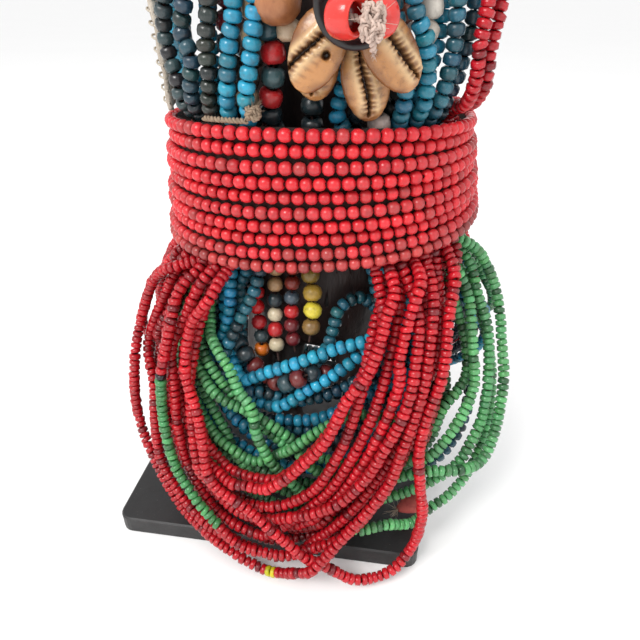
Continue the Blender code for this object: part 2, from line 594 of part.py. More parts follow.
def block(centre, size, turn=(0.0, 0.0, 0.0), taper=1.0):
    """A box of doll millimetres, turned by degrees about X, Y and Z; its +Z end is tapered."""
    spin = Matrix.Identity(3)
    for axis, angle in zip("XYZ", turn):
        spin = Matrix.Rotation(math.radians(angle), 3, axis) @ spin
    corners = []
    for z in (-0.5, 0.5):
        narrow = taper if z > 0 else 1.0
        for x, y in ((-0.5, -0.5), (0.5, -0.5), (0.5, 0.5), (-0.5, 0.5)):
            spot = spin @ Vector((x * size[0] * narrow, y * size[1] * narrow, z * size[2]))
            corners.append((DOLL_X + (centre[0] + spot.x) * UNIT,
                (centre[1] + spot.y) * UNIT,
                PLATE_THICKNESS + (centre[2] + spot.z) * UNIT))
    faces = [(0, 1, 2, 3), (4, 5, 6, 7), (0, 1, 5, 4), (1, 2, 6, 5), (2, 3, 7, 6), (3, 0, 4, 7)]
    return corners, faces


def foot(side):
    """A block-like foot, flat below, that narrows upwards."""
    rings = ((0, 0.5, 0.5), (5, 0.5, 0.5), (11, 0.42, 0.40), (FOOT_HEIGHT, 0.3, 0.26))
    shaped = [(height, FOOT_WIDTH * wide, FOOT_LENGTH * deep, -FOOT_Y) for height, wide, deep in rings]
    return loft(shaped, 10, centre_x=DOLL_X + side * FOOT_X * UNIT)


def ear(side):
    """A half-round ear standing out from the head."""
    points = [(DOLL_X + side * x * UNIT, y * UNIT, PLATE_THICKNESS + z * UNIT)
              for x, y, z in ((31, 2, 350), (38, 3, 350), (43, 4, 341), (42.5, 4, 331), (37, 3, 324), (30, 2, 324))]
    return sweep(points, [circle(r * UNIT, 6) for r in (3, 4, 4.2, 4, 3.6, 3)])


def crest():
    """A raised ridge of hair that runs from the forehead over the crown to the nape."""
    stations = ((-35, 349), (-30, 367), (-20, 381), (-5, 389.5), (10, 388), (24, 378), (32, 362), (34, 345))
    points = [(DOLL_X, y * UNIT, PLATE_THICKNESS + z * UNIT) for y, z in stations]
    sizes = (2.2, 3, 3.6, 3.8, 3.8, 3.6, 3, 2.2)
    return sweep(points, [circle(r * UNIT, 6) for r in sizes])


def carved_figure():
    """The wooden doll, carved as one: body, head, arms and short bent legs."""
    solids = [loft(BODY_RINGS, BODY_SIDES)]
    for side in (-1, 1):
        solids += [limb(LEG, side), foot(side), limb(ARM, side), ear(side)]
        solids.append(block((side * 12.5, -36.5, 334), (9, 7, 5), (8, 0, side * 14), 0.8))
    solids.append(block((0, -42, 324), (9, 12, 30), (-8, 0, 0), 0.55))
    solids.append(block((0, -38, 304.5), (19, 7, 8), (-10, 0, 0), 0.9))
    solids.append(block((0, -38.5, 343.5), (40, 5, 5), (10, 0, 0), 0.9))
    solids.append(crest())
    return fuse("carved_figure", solids, material("dark_wood", (0.060, 0.030, 0.020), 0.55))


def base_plate():
    """The square plate, with rounded corners and eased edges."""
    outline = []
    for turn, (x, y) in enumerate(((1, 1), (-1, 1), (-1, -1), (1, -1))):
        for k in range(6):
            angle = math.radians(90 * turn + 18 * k)
            outline.append((x * (PLATE_WIDTH / 2 - PLATE_CORNER) + PLATE_CORNER * math.cos(angle),
                y * (PLATE_DEPTH / 2 - PLATE_CORNER) + PLATE_CORNER * math.sin(angle)))
    count = len(outline)
    corners = [(x, y, 0.0) for x, y in outline] + [(x, y, PLATE_THICKNESS) for x, y in outline]
    faces = [tuple(range(count)), tuple(range(count, 2 * count))]
    faces += [(k, (k + 1) % count, (k + 1) % count + count, k + count) for k in range(count)]
    plate = mesh_object("base_plate", corners, faces, material("black_lacquer", (0.015, 0.015, 0.017), 0.42))
    bevel = plate.modifiers.new("Eased edges", "BEVEL")
    bevel.width = PLATE_BEVEL
    bevel.segments = 1
    bevel.limit_method = "ANGLE"
    bevel.angle_limit = math.radians(60)
    return plate


def belt_row(row, angle):
    """Centre of a row of the belt at an angle: height, and how far out, in doll millimetres."""
    share = row / (BELT_ROWS - 1)
    side, front = math.sin(math.radians(angle)), math.cos(math.radians(angle))
    middle = 114.8 + 30.8 * share
    tilt = side * (4.0 - 3.4 * share)
    if front > 0:
        tilt += front * (-5.5 + 9.1 * share)
    else:
        tilt += -front * (-3.0 + 6.0 * share)
    far = reach(angle, 53.5 - 5.0 * share, 44.5 + 5.0 * share, SUPERELLIPSE)
    recess = BELT_RECESS / UNIT if row in (2, 5, 8) else 0.0
    return middle + tilt, far - recess


def belt():
    """Ten rows of round beads as one wall, scalloped outside."""
    corners = []
    for step in range(BELT_STEPS):
        angle = 360 * step / BELT_STEPS
        rows = [belt_row(row, angle) for row in range(BELT_ROWS)]
        radius = BELT_BEAD / 2 / UNIT
        section = [(rows[0][1] - BELT_WALL / UNIT, rows[0][0] - 0.7 * radius)]
        for row, (height, far) in enumerate(rows):
            below, below_far = rows[max(row - 1, 0)]
            section.append(((far + below_far) / 2 + 0.5 * radius, (height + below) / 2 - (row == 0) * radius))
            section.append((far + radius, height))
        section.append((rows[-1][1] + 0.5 * radius, rows[-1][0] + radius))
        section.append((rows[-1][1] - BELT_WALL / UNIT, rows[-1][0] + 0.7 * radius))
        side, front = math.sin(math.radians(angle)), math.cos(math.radians(angle))
        corners += [(DOLL_X + far * side * UNIT, -far * front * UNIT, PLATE_THICKNESS + height * UNIT)
                    for far, height in section]
    size = len(corners) // BELT_STEPS
    faces = []
    for i in range(BELT_STEPS):
        j = (i + 1) % BELT_STEPS
        for k in range(size):
            m = (k + 1) % size
            faces.append((i * size + k, i * size + m, j * size + m, j * size + k))
    return mesh_object("waist_belt", corners, faces, material("red_glass", (0.62, 0.030, 0.045), 0.30))


def tucked(angle, ring):
    """Where a strand passes the belt's lower edge, inside its wall."""
    return angle, belt_row(0, angle)[0] - 1.5, ring[1] + 0.6


def routed(route, ring, hangs=True):
    first, last, points = route
    spots = [(first, *ring[:2]), *points, (last, *ring[:2])]
    if hangs:
        spots[1:1] = [tucked(first, ring)]
        spots[-1:-1] = [tucked(last, ring)]
    return smooth([place(*spot) for spot in spots], SAMPLE)


def dropped(route, ring):
    first, points = route
    return smooth([place(*spot) for spot in [(first, *ring[:2]), *points]], SAMPLE)


def nut_bead():
    """The big brown bead on the inner necklace, threaded upright."""
    spot = place(*NUT_AT)
    shares = (-0.5, -0.38, -0.14, 0.14, 0.38, 0.5)
    points = [spot + np.array((0.0, 0.0, NUT_BEAD * k)) for k in shares]
    return sweep(points, [circle(NUT_BEAD * size, 9) for size in (0.16, 0.34, 0.49, 0.49, 0.34, 0.16)])


def bead_strands():
    """Every strand settled among the others, then fused by colour on its thread ring."""
    plan = []
    for route in RED_ROUTES:
        plan.append((routed(route, RED_RING), SEED_BEAD / 2, 0))
    for route in SIDE_RED_ROUTES:
        plan.append((routed(route, RED_RING, hangs=False), SEED_BEAD / 2, 0))
    for route in GREEN_ROUTES:
        plan.append((routed(route, GREEN_RING), SEED_BEAD / 2, 1))
    for route in BLUE_ROUTES:
        plan.append((routed(route, BLUE_RING), BLUE_BEAD / 2, 2))
    for route in NECKLACE_ROUTES:
        plan.append((routed(route, BLUE_RING, hangs=False), BLUE_BEAD / 2, 2))
    for route in MIXED_ROUTES:
        plan.append((routed(route, MIXED_RING, hangs=False), MIXED_BEAD / 2, 3))
    for route in DROP_ROUTES:
        plan.append((dropped(route, MIXED_RING), MIXED_BEAD / 2, 3))
    strands, radii, groups = zip(*plan)
    finishes = (
        ("red_bead_strands", RED_RING, material("red_seed_glass", (0.60, 0.020, 0.040), 0.28)),
        ("green_bead_strands", GREEN_RING, material("green_glass", (0.100, 0.380, 0.130), 0.30)),
        ("blue_bead_strands", BLUE_RING, material("blue_glass", (0.020, 0.250, 0.420), 0.30)),
        ("mixed_bead_strands", MIXED_RING, material("mixed_glass", (0.350, 0.180, 0.110), 0.35)),
    )
    rings = [(np.array(ring_line(ring, 140)), ring[2] + RING_ROOM, number)
             for number, (_, ring, _) in enumerate(finishes)]
    settled = settle(strands, radii, groups, rings)
    for number, (name, ring, finish) in enumerate(finishes):
        solids = [thread_ring(ring)]
        for points, radius, group in zip(settled, radii, groups):
            if group == number:
                turn = 0.5 + STRAND_TURN * (len(solids) % 5 if number == 0 else 0)
                solids.append(tube(fewer(points), radius, turn=turn))
        if name == "mixed_bead_strands":
            solids.append(nut_bead())
        fuse(name, solids, finish)


def facing(angle):
    """The directions right, up and out at an angle from the front."""
    turned = math.radians(angle)
    out = np.array((math.sin(turned), -math.cos(turned), 0.0))
    up = np.array((0.0, 0.0, 1.0))
    return np.cross(up, out), up, out


def by_disc(aside, above, ahead, turn=0.0):
    """A point at an offset from the disc's centre, and the directions right, up and out of a piece there."""
    right, up, out = facing(DISC_AT[0])
    return place(*DISC_AT) + right * aside + up * above + out * ahead, *facing(DISC_AT[0] + turn)


def barrel_room():
    """Half of what a turned ring bead takes sideways, and half of what it takes in depth."""
    along, across = math.cos(math.radians(RING_BEAD_TURN)), math.sin(math.radians(RING_BEAD_TURN))
    corners = [(BARREL_LENGTH * run, BARREL_DIAMETER * size) for run, size in zip(BARREL_RUNS, BARREL_SHARES)]
    return (max(run * along + size * across for run, size in corners),
            max(run * across + size * along for run, size in corners))


def knot_frame():
    """The knot in the notch that the two ring beads leave open to the front."""
    _, deep = barrel_room()
    notch = KNOT_WIDTH / 2 / math.sin(math.radians(RING_BEAD_TURN))
    return by_disc(KNOT_ASIDE, -KNOT_HEIGHT / 3, DISC_THICKNESS / 2 + deep / 2 + notch + 2 * GAP)


def barrel_frame(side):
    """The ring bead left, -1, or right, 1, of the knot, clear of the other and of the disc: centre and axis."""
    wide, deep = barrel_room()
    aside, ahead = KNOT_ASIDE + side * (wide + GAP / 2), DISC_THICKNESS / 2 + deep + GAP
    spot, right, up, out = by_disc(aside, -KNOT_HEIGHT / 3, ahead)
    turn = math.radians(RING_BEAD_TURN)
    return spot, right * math.cos(turn) - side * out * math.sin(turn)


def cowrie_frame(at):
    """A shell's centre, and its long, wide and forward directions."""
    aside, above, ahead, turn, roll, pitch = at
    spot, right, up, out = by_disc(*(COWRIE_LENGTH * share for share in (aside, above, ahead)), turn)
    lean, tip = math.radians(roll), math.radians(pitch)
    up, out = up * math.cos(tip) + out * math.sin(tip), out * math.cos(tip) - up * math.sin(tip)
    long_way = up * math.cos(lean) + right * math.sin(lean)
    wide_way = right * math.cos(lean) - up * math.sin(lean)
    return spot, long_way, wide_way, out


def pendant_disc():
    spot, right, up, out = by_disc(0, 0, 0)
    finish = material("black_disc", (0.012, 0.012, 0.014), 0.38)
    faces_at = [spot - out * DISC_THICKNESS / 2, spot + out * DISC_THICKNESS / 2]
    return mesh_object("pendant_disc", *sweep(faces_at, [circle(DISC_DIAMETER / 2, 18)] * 2), finish)


def pendant_barrels():
    finish = material("orange_red_glass", (0.75, 0.060, 0.030), 0.35)
    for name, side in (("pendant_bead_left", -1), ("pendant_bead_right", 1)):
        spot, axis = barrel_frame(side)
        stations = [spot + axis * BARREL_LENGTH * run for run in BARREL_RUNS]
        mesh_object(name, *sweep(stations, [circle(BARREL_DIAMETER * s, 10) for s in BARREL_SHARES]), finish)


def twine_knot():
    spot, right, up, out = knot_frame()
    middle = [spot + up * KNOT_HEIGHT * k for k in (-0.5, -0.3, 0.0, 0.3, 0.5)]
    ball = sweep(middle, [circle(KNOT_WIDTH * s, 8) for s in (0.22, 0.42, 0.50, 0.42, 0.22)])
    tail = [spot + KNOT_HEIGHT * (right * aside + up * above + out * ahead) for aside, above, ahead in TAIL_AT]
    tail = tube([spot, *tail], TWINE * 0.7, 5)
    return fuse("pendant_knot", [ball, tail], material("pale_twine", (0.42, 0.33, 0.25), 0.9))


def cowrie(name, at, finish):
    """A cowrie shell: an egg shape that is flatter on its slit side, with the slit cut in."""
    spot, long_way, wide_way, out = cowrie_frame(at)
    shares = ((-0.5, 0.10), (-0.40, 0.28), (-0.2, 0.44), (0.08, 0.5), (0.30, 0.42), (0.44, 0.25), (0.5, 0.10))
    corners = []
    for run, size in shares:
        centre = spot + long_way * COWRIE_LENGTH * run
        wide, deep = COWRIE_WIDTH * size, COWRIE_DEPTH * size
        for across, forward in ((0, 0.62), (0.34, 0.88), (0.8, 0.62), (1, 0), (0.7, -0.7), (0, -1),
                                (-0.7, -0.7), (-1, 0), (-0.8, 0.62), (-0.34, 0.88)):
            corners.append(centre + wide_way * wide * across + out * deep * forward)
    sides = 10
    faces = [tuple(range(sides)), tuple(range(len(corners) - sides, len(corners)))]
    for i in range(len(shares) - 1):
        for k in range(sides):
            m = (k + 1) % sides
            faces.append((i * sides + k, i * sides + m, (i + 1) * sides + m, (i + 1) * sides + k))
    return mesh_object(name, corners, faces, finish)


def cowries():
    finish = material("cowrie_shell", (0.68, 0.46, 0.24), 0.3)
    for number, at in enumerate(COWRIES_AT):
        cowrie(f"cowrie_{number + 1}", at, finish)


def seed_cone():
    """A dull red cone that lies on the strands at the lower right."""
    right, up, out = facing(CONE_AT[0])
    spot = place(*CONE_AT)
    axis = right * 0.9 + up * 0.1 + out * 0.2
    axis /= np.linalg.norm(axis)
    stations = [spot + axis * CONE_LENGTH * k for k in (-0.5, -0.2, 0.3, 0.5)]
    sizes = (0.16, 0.36, 0.5, 0.4)
    return mesh_object("seed_cone", *sweep(stations, [circle(CONE_DIAMETER * s, 8) for s in sizes]),
                       material("dull_red", (0.30, 0.05, 0.035), 0.6))


def hide_strip():
    """A strip of hide that hangs over the flank, bent round the strands."""
    columns, rows = 6, 4
    corners = []
    for thickness in (0.0, HIDE_THICKNESS / UNIT):
        for row in range(rows + 1):
            height = HIDE_HEIGHTS[0] + (HIDE_HEIGHTS[1] - HIDE_HEIGHTS[0]) * row / rows
            for column in range(columns + 1):
                angle = HIDE_ANGLES[0] + (HIDE_ANGLES[1] - HIDE_ANGLES[0]) * column / columns
                corners.append(place(angle, height, HIDE_LAYER + thickness))
    width = columns + 1
    sheet = width * (rows + 1)
    faces = []
    for row in range(rows):
        for column in range(columns):
            a = row * width + column
            faces.append((a, a + 1, a + width + 1, a + width))
            faces.append((sheet + a, sheet + a + width, sheet + a + width + 1, sheet + a + 1))
    edge = list(range(width)) + [row * width + columns for row in range(1, rows + 1)]
    edge += [rows * width + c for c in range(columns - 1, -1, -1)] + [r * width for r in range(rows - 1, 0, -1)]
    for a, b in zip(edge, edge[1:] + edge[:1]):
        faces.append((a, b, sheet + b, sheet + a))
    return mesh_object("hide_strip", corners, faces, material("pale_hide", (0.45, 0.36, 0.26), 0.85))


def belt_cord():
    """The twine that ties the belt, lying along its top edge and ending in a frayed knot."""
    lift = BELT_BEAD / 2 / UNIT + (TWINE / 2 + GAP) / UNIT + 0.1
    points = []
    for angle in np.linspace(*CORD_ANGLES, 6):
        height, far = belt_row(BELT_ROWS - 1, angle)
        turned = math.radians(angle)
        points.append(((DOLL_X + far * math.sin(turned) * UNIT), -far * math.cos(turned) * UNIT,
                       PLATE_THICKNESS + (height + lift) * UNIT))
    end = np.array(points[-1])
    knot = ((-0.0010, 0.0016), (0.0005, 0.0019), (0.0027, 0.0022), (0.0042, 0.0026))
    ball = sweep([end + np.array((x, 0.0, z)) for x, z in knot],
                 [circle(r, 7) for r in (0.0010, 0.0022, 0.0023, 0.0009)])
    return fuse("belt_cord", [tube(points, TWINE / 2, 5), ball], material("grey_twine", (0.36, 0.30, 0.24), 0.9))


def main():
    clear_scene()
    base_plate()
    carved_figure()
    belt()
    bead_strands()
    pendant_disc()
    pendant_barrels()
    twine_knot()
    cowries()
    seed_cone()
    hide_strip()
    belt_cord()


main()
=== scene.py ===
"""The looks of a carved wooden doll dressed in bead strands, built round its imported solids.

Metres, +Z up. The doll faces -Y. Routes and rings of the doll are in doll millimetres,
a 392nd of the figure's height each: angle from the front, height above the plate, layer outwards.
"""

import math

import bmesh
import bpy
import numpy as np
from mathutils import Matrix, Vector
from mathutils.kdtree import KDTree


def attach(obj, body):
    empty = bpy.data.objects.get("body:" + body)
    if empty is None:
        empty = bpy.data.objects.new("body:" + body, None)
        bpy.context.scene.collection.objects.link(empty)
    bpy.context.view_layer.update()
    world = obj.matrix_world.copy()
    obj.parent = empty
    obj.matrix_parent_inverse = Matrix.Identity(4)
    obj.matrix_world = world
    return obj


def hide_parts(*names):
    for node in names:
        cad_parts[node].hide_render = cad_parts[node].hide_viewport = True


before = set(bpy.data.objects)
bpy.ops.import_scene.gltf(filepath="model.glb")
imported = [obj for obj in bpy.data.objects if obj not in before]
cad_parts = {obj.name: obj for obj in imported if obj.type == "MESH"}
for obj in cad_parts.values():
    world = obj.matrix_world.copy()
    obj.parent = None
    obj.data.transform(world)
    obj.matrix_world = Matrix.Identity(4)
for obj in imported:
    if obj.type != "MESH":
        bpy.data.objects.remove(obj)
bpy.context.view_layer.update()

# Base plate
PLATE_WIDTH = 0.120
PLATE_DEPTH = 0.120
PLATE_THICKNESS = 0.008

# Figure
FIGURE_HEIGHT = 0.392
DOLL_X = 0.014
UNIT = FIGURE_HEIGHT / 392
GAP = 0.0003
COLOUR_GAP = 3 * GAP
EDGE_GAP = 5 * GAP

# Bead sizes, as diameters
SEED_BEAD = 0.0041
BLUE_BEAD = 0.0048
MIXED_BEAD = 0.0064
NUT_BEAD = 0.0110
BELT_BEAD = 0.0039

# Belt of bead rows
BELT_ROWS = 10
BELT_RECESS = 0.0010
BELT_WALL = 0.0027
RECESSED_ROWS = (2, 5, 8)
# Doll millimetres at the lowest row, and what is added by the highest one
BELT_HEIGHT = (114.8, 30.8)
BELT_SIDE_TILT = (4.0, -3.4)
BELT_FRONT_TILT = (-5.5, 9.1)
BELT_BACK_TILT = (-3.0, 6.0)
BELT_HALF_WIDTH = (53.5, -5.0)
BELT_HALF_DEPTH = (44.5, 5.0)

# Pendant on the chest
DISC_DIAMETER = 0.0190
DISC_THICKNESS = 0.0028
BARREL_DIAMETER = 0.0088
BARREL_LENGTH = 0.0060
COWRIE_LENGTH = 0.0196
COWRIE_WIDTH = 0.0128
COWRIE_DEPTH = 0.0062
TWINE = 0.0016
KNOT_HEIGHT = 0.0078
KNOT_WIDTH = 0.0054

# Small pieces among the strands
CONE_LENGTH = 0.0095
CONE_DIAMETER = 0.0085
HIDE_THICKNESS = 0.0016

SAMPLE = 0.0021
SUPERELLIPSE = 2.3

# Outline of the dressed doll: height above the plate, half width, half depth
ENVELOPE = (
    (-6, 60, 72), (4, 66, 72), (20, 75, 70), (40, 80, 66), (60, 78, 62),
    (80, 69, 57), (96, 60, 51), (108, 55, 46.5), (115, 53.5, 44.5), (145.6, 48.5, 49.5),
    (160, 49.5, 48.5), (180, 51, 48), (200, 50, 47), (215, 47, 44), (226, 44, 40),
    (238, 36, 33), (246, 28, 27), (254, 21, 21), (262, 18.5, 18.5), (292, 18.5, 18.5),
)

# Carved body, neck and head: height, half width, half depth, how far it leans forward
BODY_RINGS = (
    (58, 16, 12, 0), (64, 26, 19, 0), (74, 32, 23, 0), (86, 34, 25, 1), (96, 32, 24, 1),
    (106, 28, 21, 0), (115, 24.5, 19.5, 0), (126, 23.5, 19.5, 0), (140, 24, 21, 0),
    (160, 27, 23, 0), (184, 30, 24, 0), (206, 31.5, 23.5, 0), (222, 32, 21, 0),
    (233, 29, 18.5, 0), (241, 21, 16, 0), (249, 14.5, 14, 0), (258, 13, 13, 0),
    (280, 13, 13, 0), (286, 17, 18, 2), (294, 24, 27, 4), (306, 30, 33, 4),
    (324, 34.5, 37, 3), (344, 36, 38, 1), (362, 33, 35, 0), (377, 25, 27, 0),
    (387, 14, 16, 0), (391, 5, 6, 0),
)

# Rings of thread under the belt: height, layer and the thread's radius for each colour of strand
RED_RING = (121, -6.2, 0.00145)
GREEN_RING = (125, -10.9, 0.00145)
BLUE_RING = (129, -15.8, 0.00162)
MIXED_RING = (133, -21.0, 0.00162)
RINGS = (RED_RING, GREEN_RING, BLUE_RING, MIXED_RING)
RING_ROOM = 0.00027

# Strands: first and last angle on the thread ring, then the points between as (angle, height, layer).
# Angle 0 is the front, and it grows towards +X. Layer 0 is the outline above, and minus is inwards.
# A point without a layer has that of the point before it.
RED_ROUTES = (
    (-50, 48, ((-64, 92, 0), (-65, 78), (-60, 58), (-59, 35), (-49, 20), (-38, 4), (-21, 2), (-7, -2),
        (3, 5), (13, 17), (20, 27), (27, 39), (31, 52), (37, 69), (41, 85), (45, 99))),
    (-55, 56, ((-60, 91, -4), (-63, 78), (-63, 66), (-54, 56), (-51, 40, -3), (-48, 26, -1), (-41, 14),
        (-28, 7), (-14, 4, -2), (-3, 1, -3), (7, 9, -4), (14, 18), (22, 31), (30, 46), (35, 58), (41, 71),
        (47, 81), (52, 94))),
    (-43.2, 51, ((-47, 95, 0), (-44, 85), (-44, 72), (-44, 65), (-43, 51), (-38, 33), (-30, 21), (-24, 14),
        (-17, 7), (-9, 6), (1, 6), (12, 14, -2), (22, 24, -4), (31, 38, -6), (39, 60, -7), (46, 85))),
    (-47, 44, ((-46, 104, -4), (-45, 88), (-45, 76), (-42, 58), (-41, 48), (-38, 33), (-35, 26), (-27, 14),
        (-15, 10), (-9, 10), (-2, 18), (6, 28), (14, 40), (22, 57), (27, 70), (31, 82), (35, 91),
        (40, 103))),
    (-36, 60, ((-35, 98, 0), (-38, 87), (-36, 70), (-31, 60), (-28, 49), (-25, 38), (-20, 32), (-13, 27),
        (-7, 21), (-1, 14), (4, 8), (11, 2), (18, -3, 2), (28, -2, 3), (35, 5, 1), (37, 22, 0), (36, 35),
        (35, 52), (37, 66), (42, 74), (46, 83), (51, 94), (57, 104))),
    (-39, 39, ((-39, 95, -5), (-36, 65), (-32, 49, -4), (-30, 40), (-26, 32), (-20, 25), (-13, 23),
        (-6, 24), (0, 27), (7, 33), (14, 48), (18, 61), (21, 72), (28, 86), (35, 103, -5))),
    (-33, 41, ((-34, 90, -5), (-30, 60, -4), (-27, 44, -3), (-20, 34, 0), (-13, 35), (-9, 35), (-4, 39),
        (3, 47), (10, 57), (16, 71), (22, 79), (26, 87), (30, 96), (35, 103))),
    (-49, 36, ((-50, 98, -8), (-44, 66, -9), (-36, 48, -8), (-28, 37, -5), (-24, 35, -4), (-15, 35),
        (-6, 37), (0, 42), (8, 52, -5), (16, 64, -6), (24, 76, -7), (31, 92))),
    (-59, 43, ((-58, 100, -8), (-52, 72, -9), (-44, 42, -8), (-30, 24, -6), (-18, 18, -4), (-8, 20, -2),
        (0, 24, -1), (7, 28, 0), (14, 33), (21, 43), (26, 54), (32, 66), (36, 81), (39, 92))),
    (-64, 45, ((-64, 98, -8), (-60, 66, -10), (-50, 36), (-34, 18, -9), (-16, 11), (0, 14, -8),
        (12, 28, -6), (20, 42, -4), (27, 58, -2), (33, 75, 0), (33, 82), (35, 89), (38, 97), (41, 104))),
    (-66, -263, ((-76, 82, -1), (-88, 52), (-108, 30, -2), (-140, 18, -4), (-180, 15, -5), (-218, 22),
        (-246, 44, -7), (-261, 76))),
    (-74, -252, ((-78, 102, -3), (-88, 72, -4), (-104, 48, -5), (-130, 36, -7), (-165, 30, -8), (-195, 33),
        (-224, 50), (-243, 82))),
    (-86, -214, ((-92, 100, -3), (-104, 68), (-122, 50), (-148, 42, -4), (-178, 46), (-202, 70),
        (-212, 100))),
)
SIDE_RED_ROUTES = (
    (74, 138, ((68, 150, -5), (61, 154, 1), (58.5, 160, 4), (58, 168), (60, 178), (62, 196, 3),
        (66, 212, 2), (74, 230), (92, 244), (128, 244, 1), (140, 226), (140, 200, 0), (139, 170),
        (138, 150, -4))),
    (66, 150, ((62, 150, -5), (56.5, 154, 1), (54, 161, 4), (53, 170), (53, 178), (56, 196, 3), (60, 214),
        (68, 234), (92, 250), (132, 250, 2), (150, 226, 1), (151, 200, 0), (151, 170), (150, 150, -4))),
)
GREEN_ROUTES = (
    (-44, 72, ((-43, 100, -9.5), (-42, 88), (-38, 82, -9), (-33, 76, -8), (-27, 71), (-22, 64), (-17, 60),
        (-14, 50), (-11, 44), (-6, 36), (4, 24, -9), (12, 14, -8), (20, 13, -6), (29, 14), (38, 11, -5),
        (44, 15), (52, 19, -4), (62, 32), (70, 50, -6), (76, 75), (77, 100))),
    (-40, 68, ((-42, 98, -9), (-43, 74, -8), (-40, 68), (-34, 64), (-27, 60), (-19, 57), (-14, 54),
        (-9, 51), (-3, 46), (0, 41), (10, 34, -10), (25, 32, -9), (40, 39, -4), (48, 38, -1), (56, 37, 0),
        (60, 43), (64, 55), (68, 65), (72, 73), (76, 82, 1), (80, 90, 2), (79, 102, 0))),
    (-47, 62, ((-48, 100, -11), (-46, 78), (-41, 72), (-36, 67), (-31, 62), (-20, 52, -13), (-5, 42),
        (10, 38), (25, 37, -12), (41, 42, -5), (44, 46, -4), (49, 52), (54, 60), (58, 66), (60, 75),
        (63, 84), (67, 92), (67, 101, -5))),
    (-36, 57, ((-37, 90, -12), (-35, 60, -11), (-32, 42, -8), (-29, 40), (-23, 38), (-17, 36), (-11, 37),
        (-3, 44), (4, 50), (8, 53), (20, 58, -10), (32, 56), (44, 50, -8), (49, 58), (56, 63), (60, 66),
        (64, 80), (63, 102, -9))),
    (74, -57, ((76, 99, -3), (73, 90), (71, 80), (67, 72), (62, 62), (59, 51), (55, 44), (51, 37),
        (42, 28, -7), (28, 22, -11), (8, 20, -13), (-15, 26, -14), (-35, 45), (-50, 75, -13),
        (-56, 104, -12))),
    (88, -104, ((93, 90, -2), (100, 74), (112, 58, -3), (135, 42, -5), (165, 36, -8), (200, 42, -11),
        (228, 62, -12), (248, 92))),
    (103, -118, ((116, 76, -2), (134, 58), (158, 54, -6), (190, 56, -9), (220, 74, -10), (238, 100, -11))),
)
BLUE_ROUTES = (
    (-47, 57, ((-46, 99, -15), (-42, 92), (-40, 86), (-41, 79), (-44, 64), (-45, 51), (-40, 43), (-32, 37),
        (-23, 34), (-10, 30, -17), (5, 30, -18), (20, 34), (34, 48, -17), (46, 70, -16), (54, 97, -15))),
    (-27, 45, ((-27, 99, -15), (-28, 93), (-31, 86), (-33, 80), (-36, 71), (-36, 60, -18), (-26, 50, -20),
        (-10, 44, -21), (8, 44), (24, 52, -20), (36, 70, -19), (42, 97, -18))),
    (-51, 51, ((-50, 95, -17), (-42, 72, -18), (-28, 63, -15), (-19, 67), (-6, 72), (5, 76), (15, 79),
        (25, 81), (33, 84), (42, 92, -14))),
    (-40, 47, ((-42, 90, -20), (-34, 62, -19), (-18, 54, -17), (-9, 56, -15), (0, 62), (9, 67), (17, 72),
        (24, 77), (30, 80), (38, 88), (45, 104))),
    (-33, 54, ((-32, 84, -24), (-26, 62), (-14, 58, -22), (0, 64, -20), (9, 75), (13, 81), (17, 88),
        (23, 91), (33, 92), (41, 88), (49, 94, -19))),
    (62, -62, ((64, 104, -12), (70, 80, -11), (66, 54, -12), (56, 36), (40, 26, -15), (18, 22, -18),
        (-10, 24, -19), (-34, 34), (-52, 60, -17), (-60, 96, -16))),
    (80, -92, ((92, 80, -9), (108, 60), (136, 48, -11), (175, 46, -14), (214, 54, -15), (244, 76, -16),
        (262, 104))),
)
NECKLACE_ROUTES = (
    (-40, -293, ((-39, 147, -7), (-38, 153, 0), (-44, 159), (-48, 166), (-48, 172), (-45, 178), (-42, 195),
        (-40, 212), (-46, 226), (-62, 240), (-95, 252), (-180, 257), (-265, 252), (-298, 240), (-308, 226),
        (-306, 200), (-303, 178), (-303, 168), (-301.5, 157), (-301, 151, -1), (-297, 146, -7))),
    (-33, -303, ((-33, 147, -7), (-32, 153, -1), (-33, 162, 0), (-35, 166), (-38, 172), (-35, 178),
        (-34, 195), (-34, 212), (-38, 226), (-52, 243), (-90, 258), (-180, 263), (-270, 258), (-308, 243),
        (-318, 226), (-314, 203), (-313, 178), (-311.5, 170), (-311, 159), (-310.5, 151, -1),
        (-306, 146, -7))),
    (-26, -312, ((-26, 148, -7), (-27, 153, -1), (-28, 163, 0), (-28, 171), (-26, 177), (-27, 200),
        (-31, 222), (-46, 246), (-85, 264), (-180, 269), (-275, 264), (-314, 246), (-326, 222),
        (-328, 200), (-328, 178), (-323, 170), (-320, 161), (-318.5, 152, -1), (-315, 147, -7))),
    (-20, -320, ((-21, 148, -7), (-22, 154, -1), (-22, 163, 0), (-20, 170), (-18, 177), (-20, 200),
        (-24, 222), (-40, 249), (-80, 270), (-180, 275), (-280, 270), (-320, 249), (-334, 222),
        (-334, 200, -1), (-330.5, 178, -3), (-326, 165, -2), (-326, 153), (-323, 148, -7))),
)
MIXED_ROUTES = (
    (-14, -340, ((-14, 146, -14), (-12, 155, -8), (-9, 166, -6), (-11, 174), (-12, 190), (-14, 210, -5),
        (-20, 228, -4), (-50, 243, 0), (-110, 250, 1), (-180, 251), (-250, 250), (-310, 243, 0),
        (-332, 228, -4), (-330, 210, -6), (-326, 190, -7), (-326, 174), (-334, 158, -9),
        (-340, 147, -14))),
)
DROP_ROUTES = (
    (-45, ((-45, 105, -22), (-39, 88, -23.5), (-30, 75, -24), (-32, 63, -25))),
    (-23, ((-22.5, 108, -23.8), (-20, 88), (-17.5, 76, -23), (-15, 68))),
    (-16, ((-18, 108, -22), (-13, 90), (-10, 80), (-7, 70, -23))),
    (-2, ((0, 104, -18), (4, 90), (5, 76))),
    (44, ((45, 108, -22), (48, 95), (51, 86))),
)

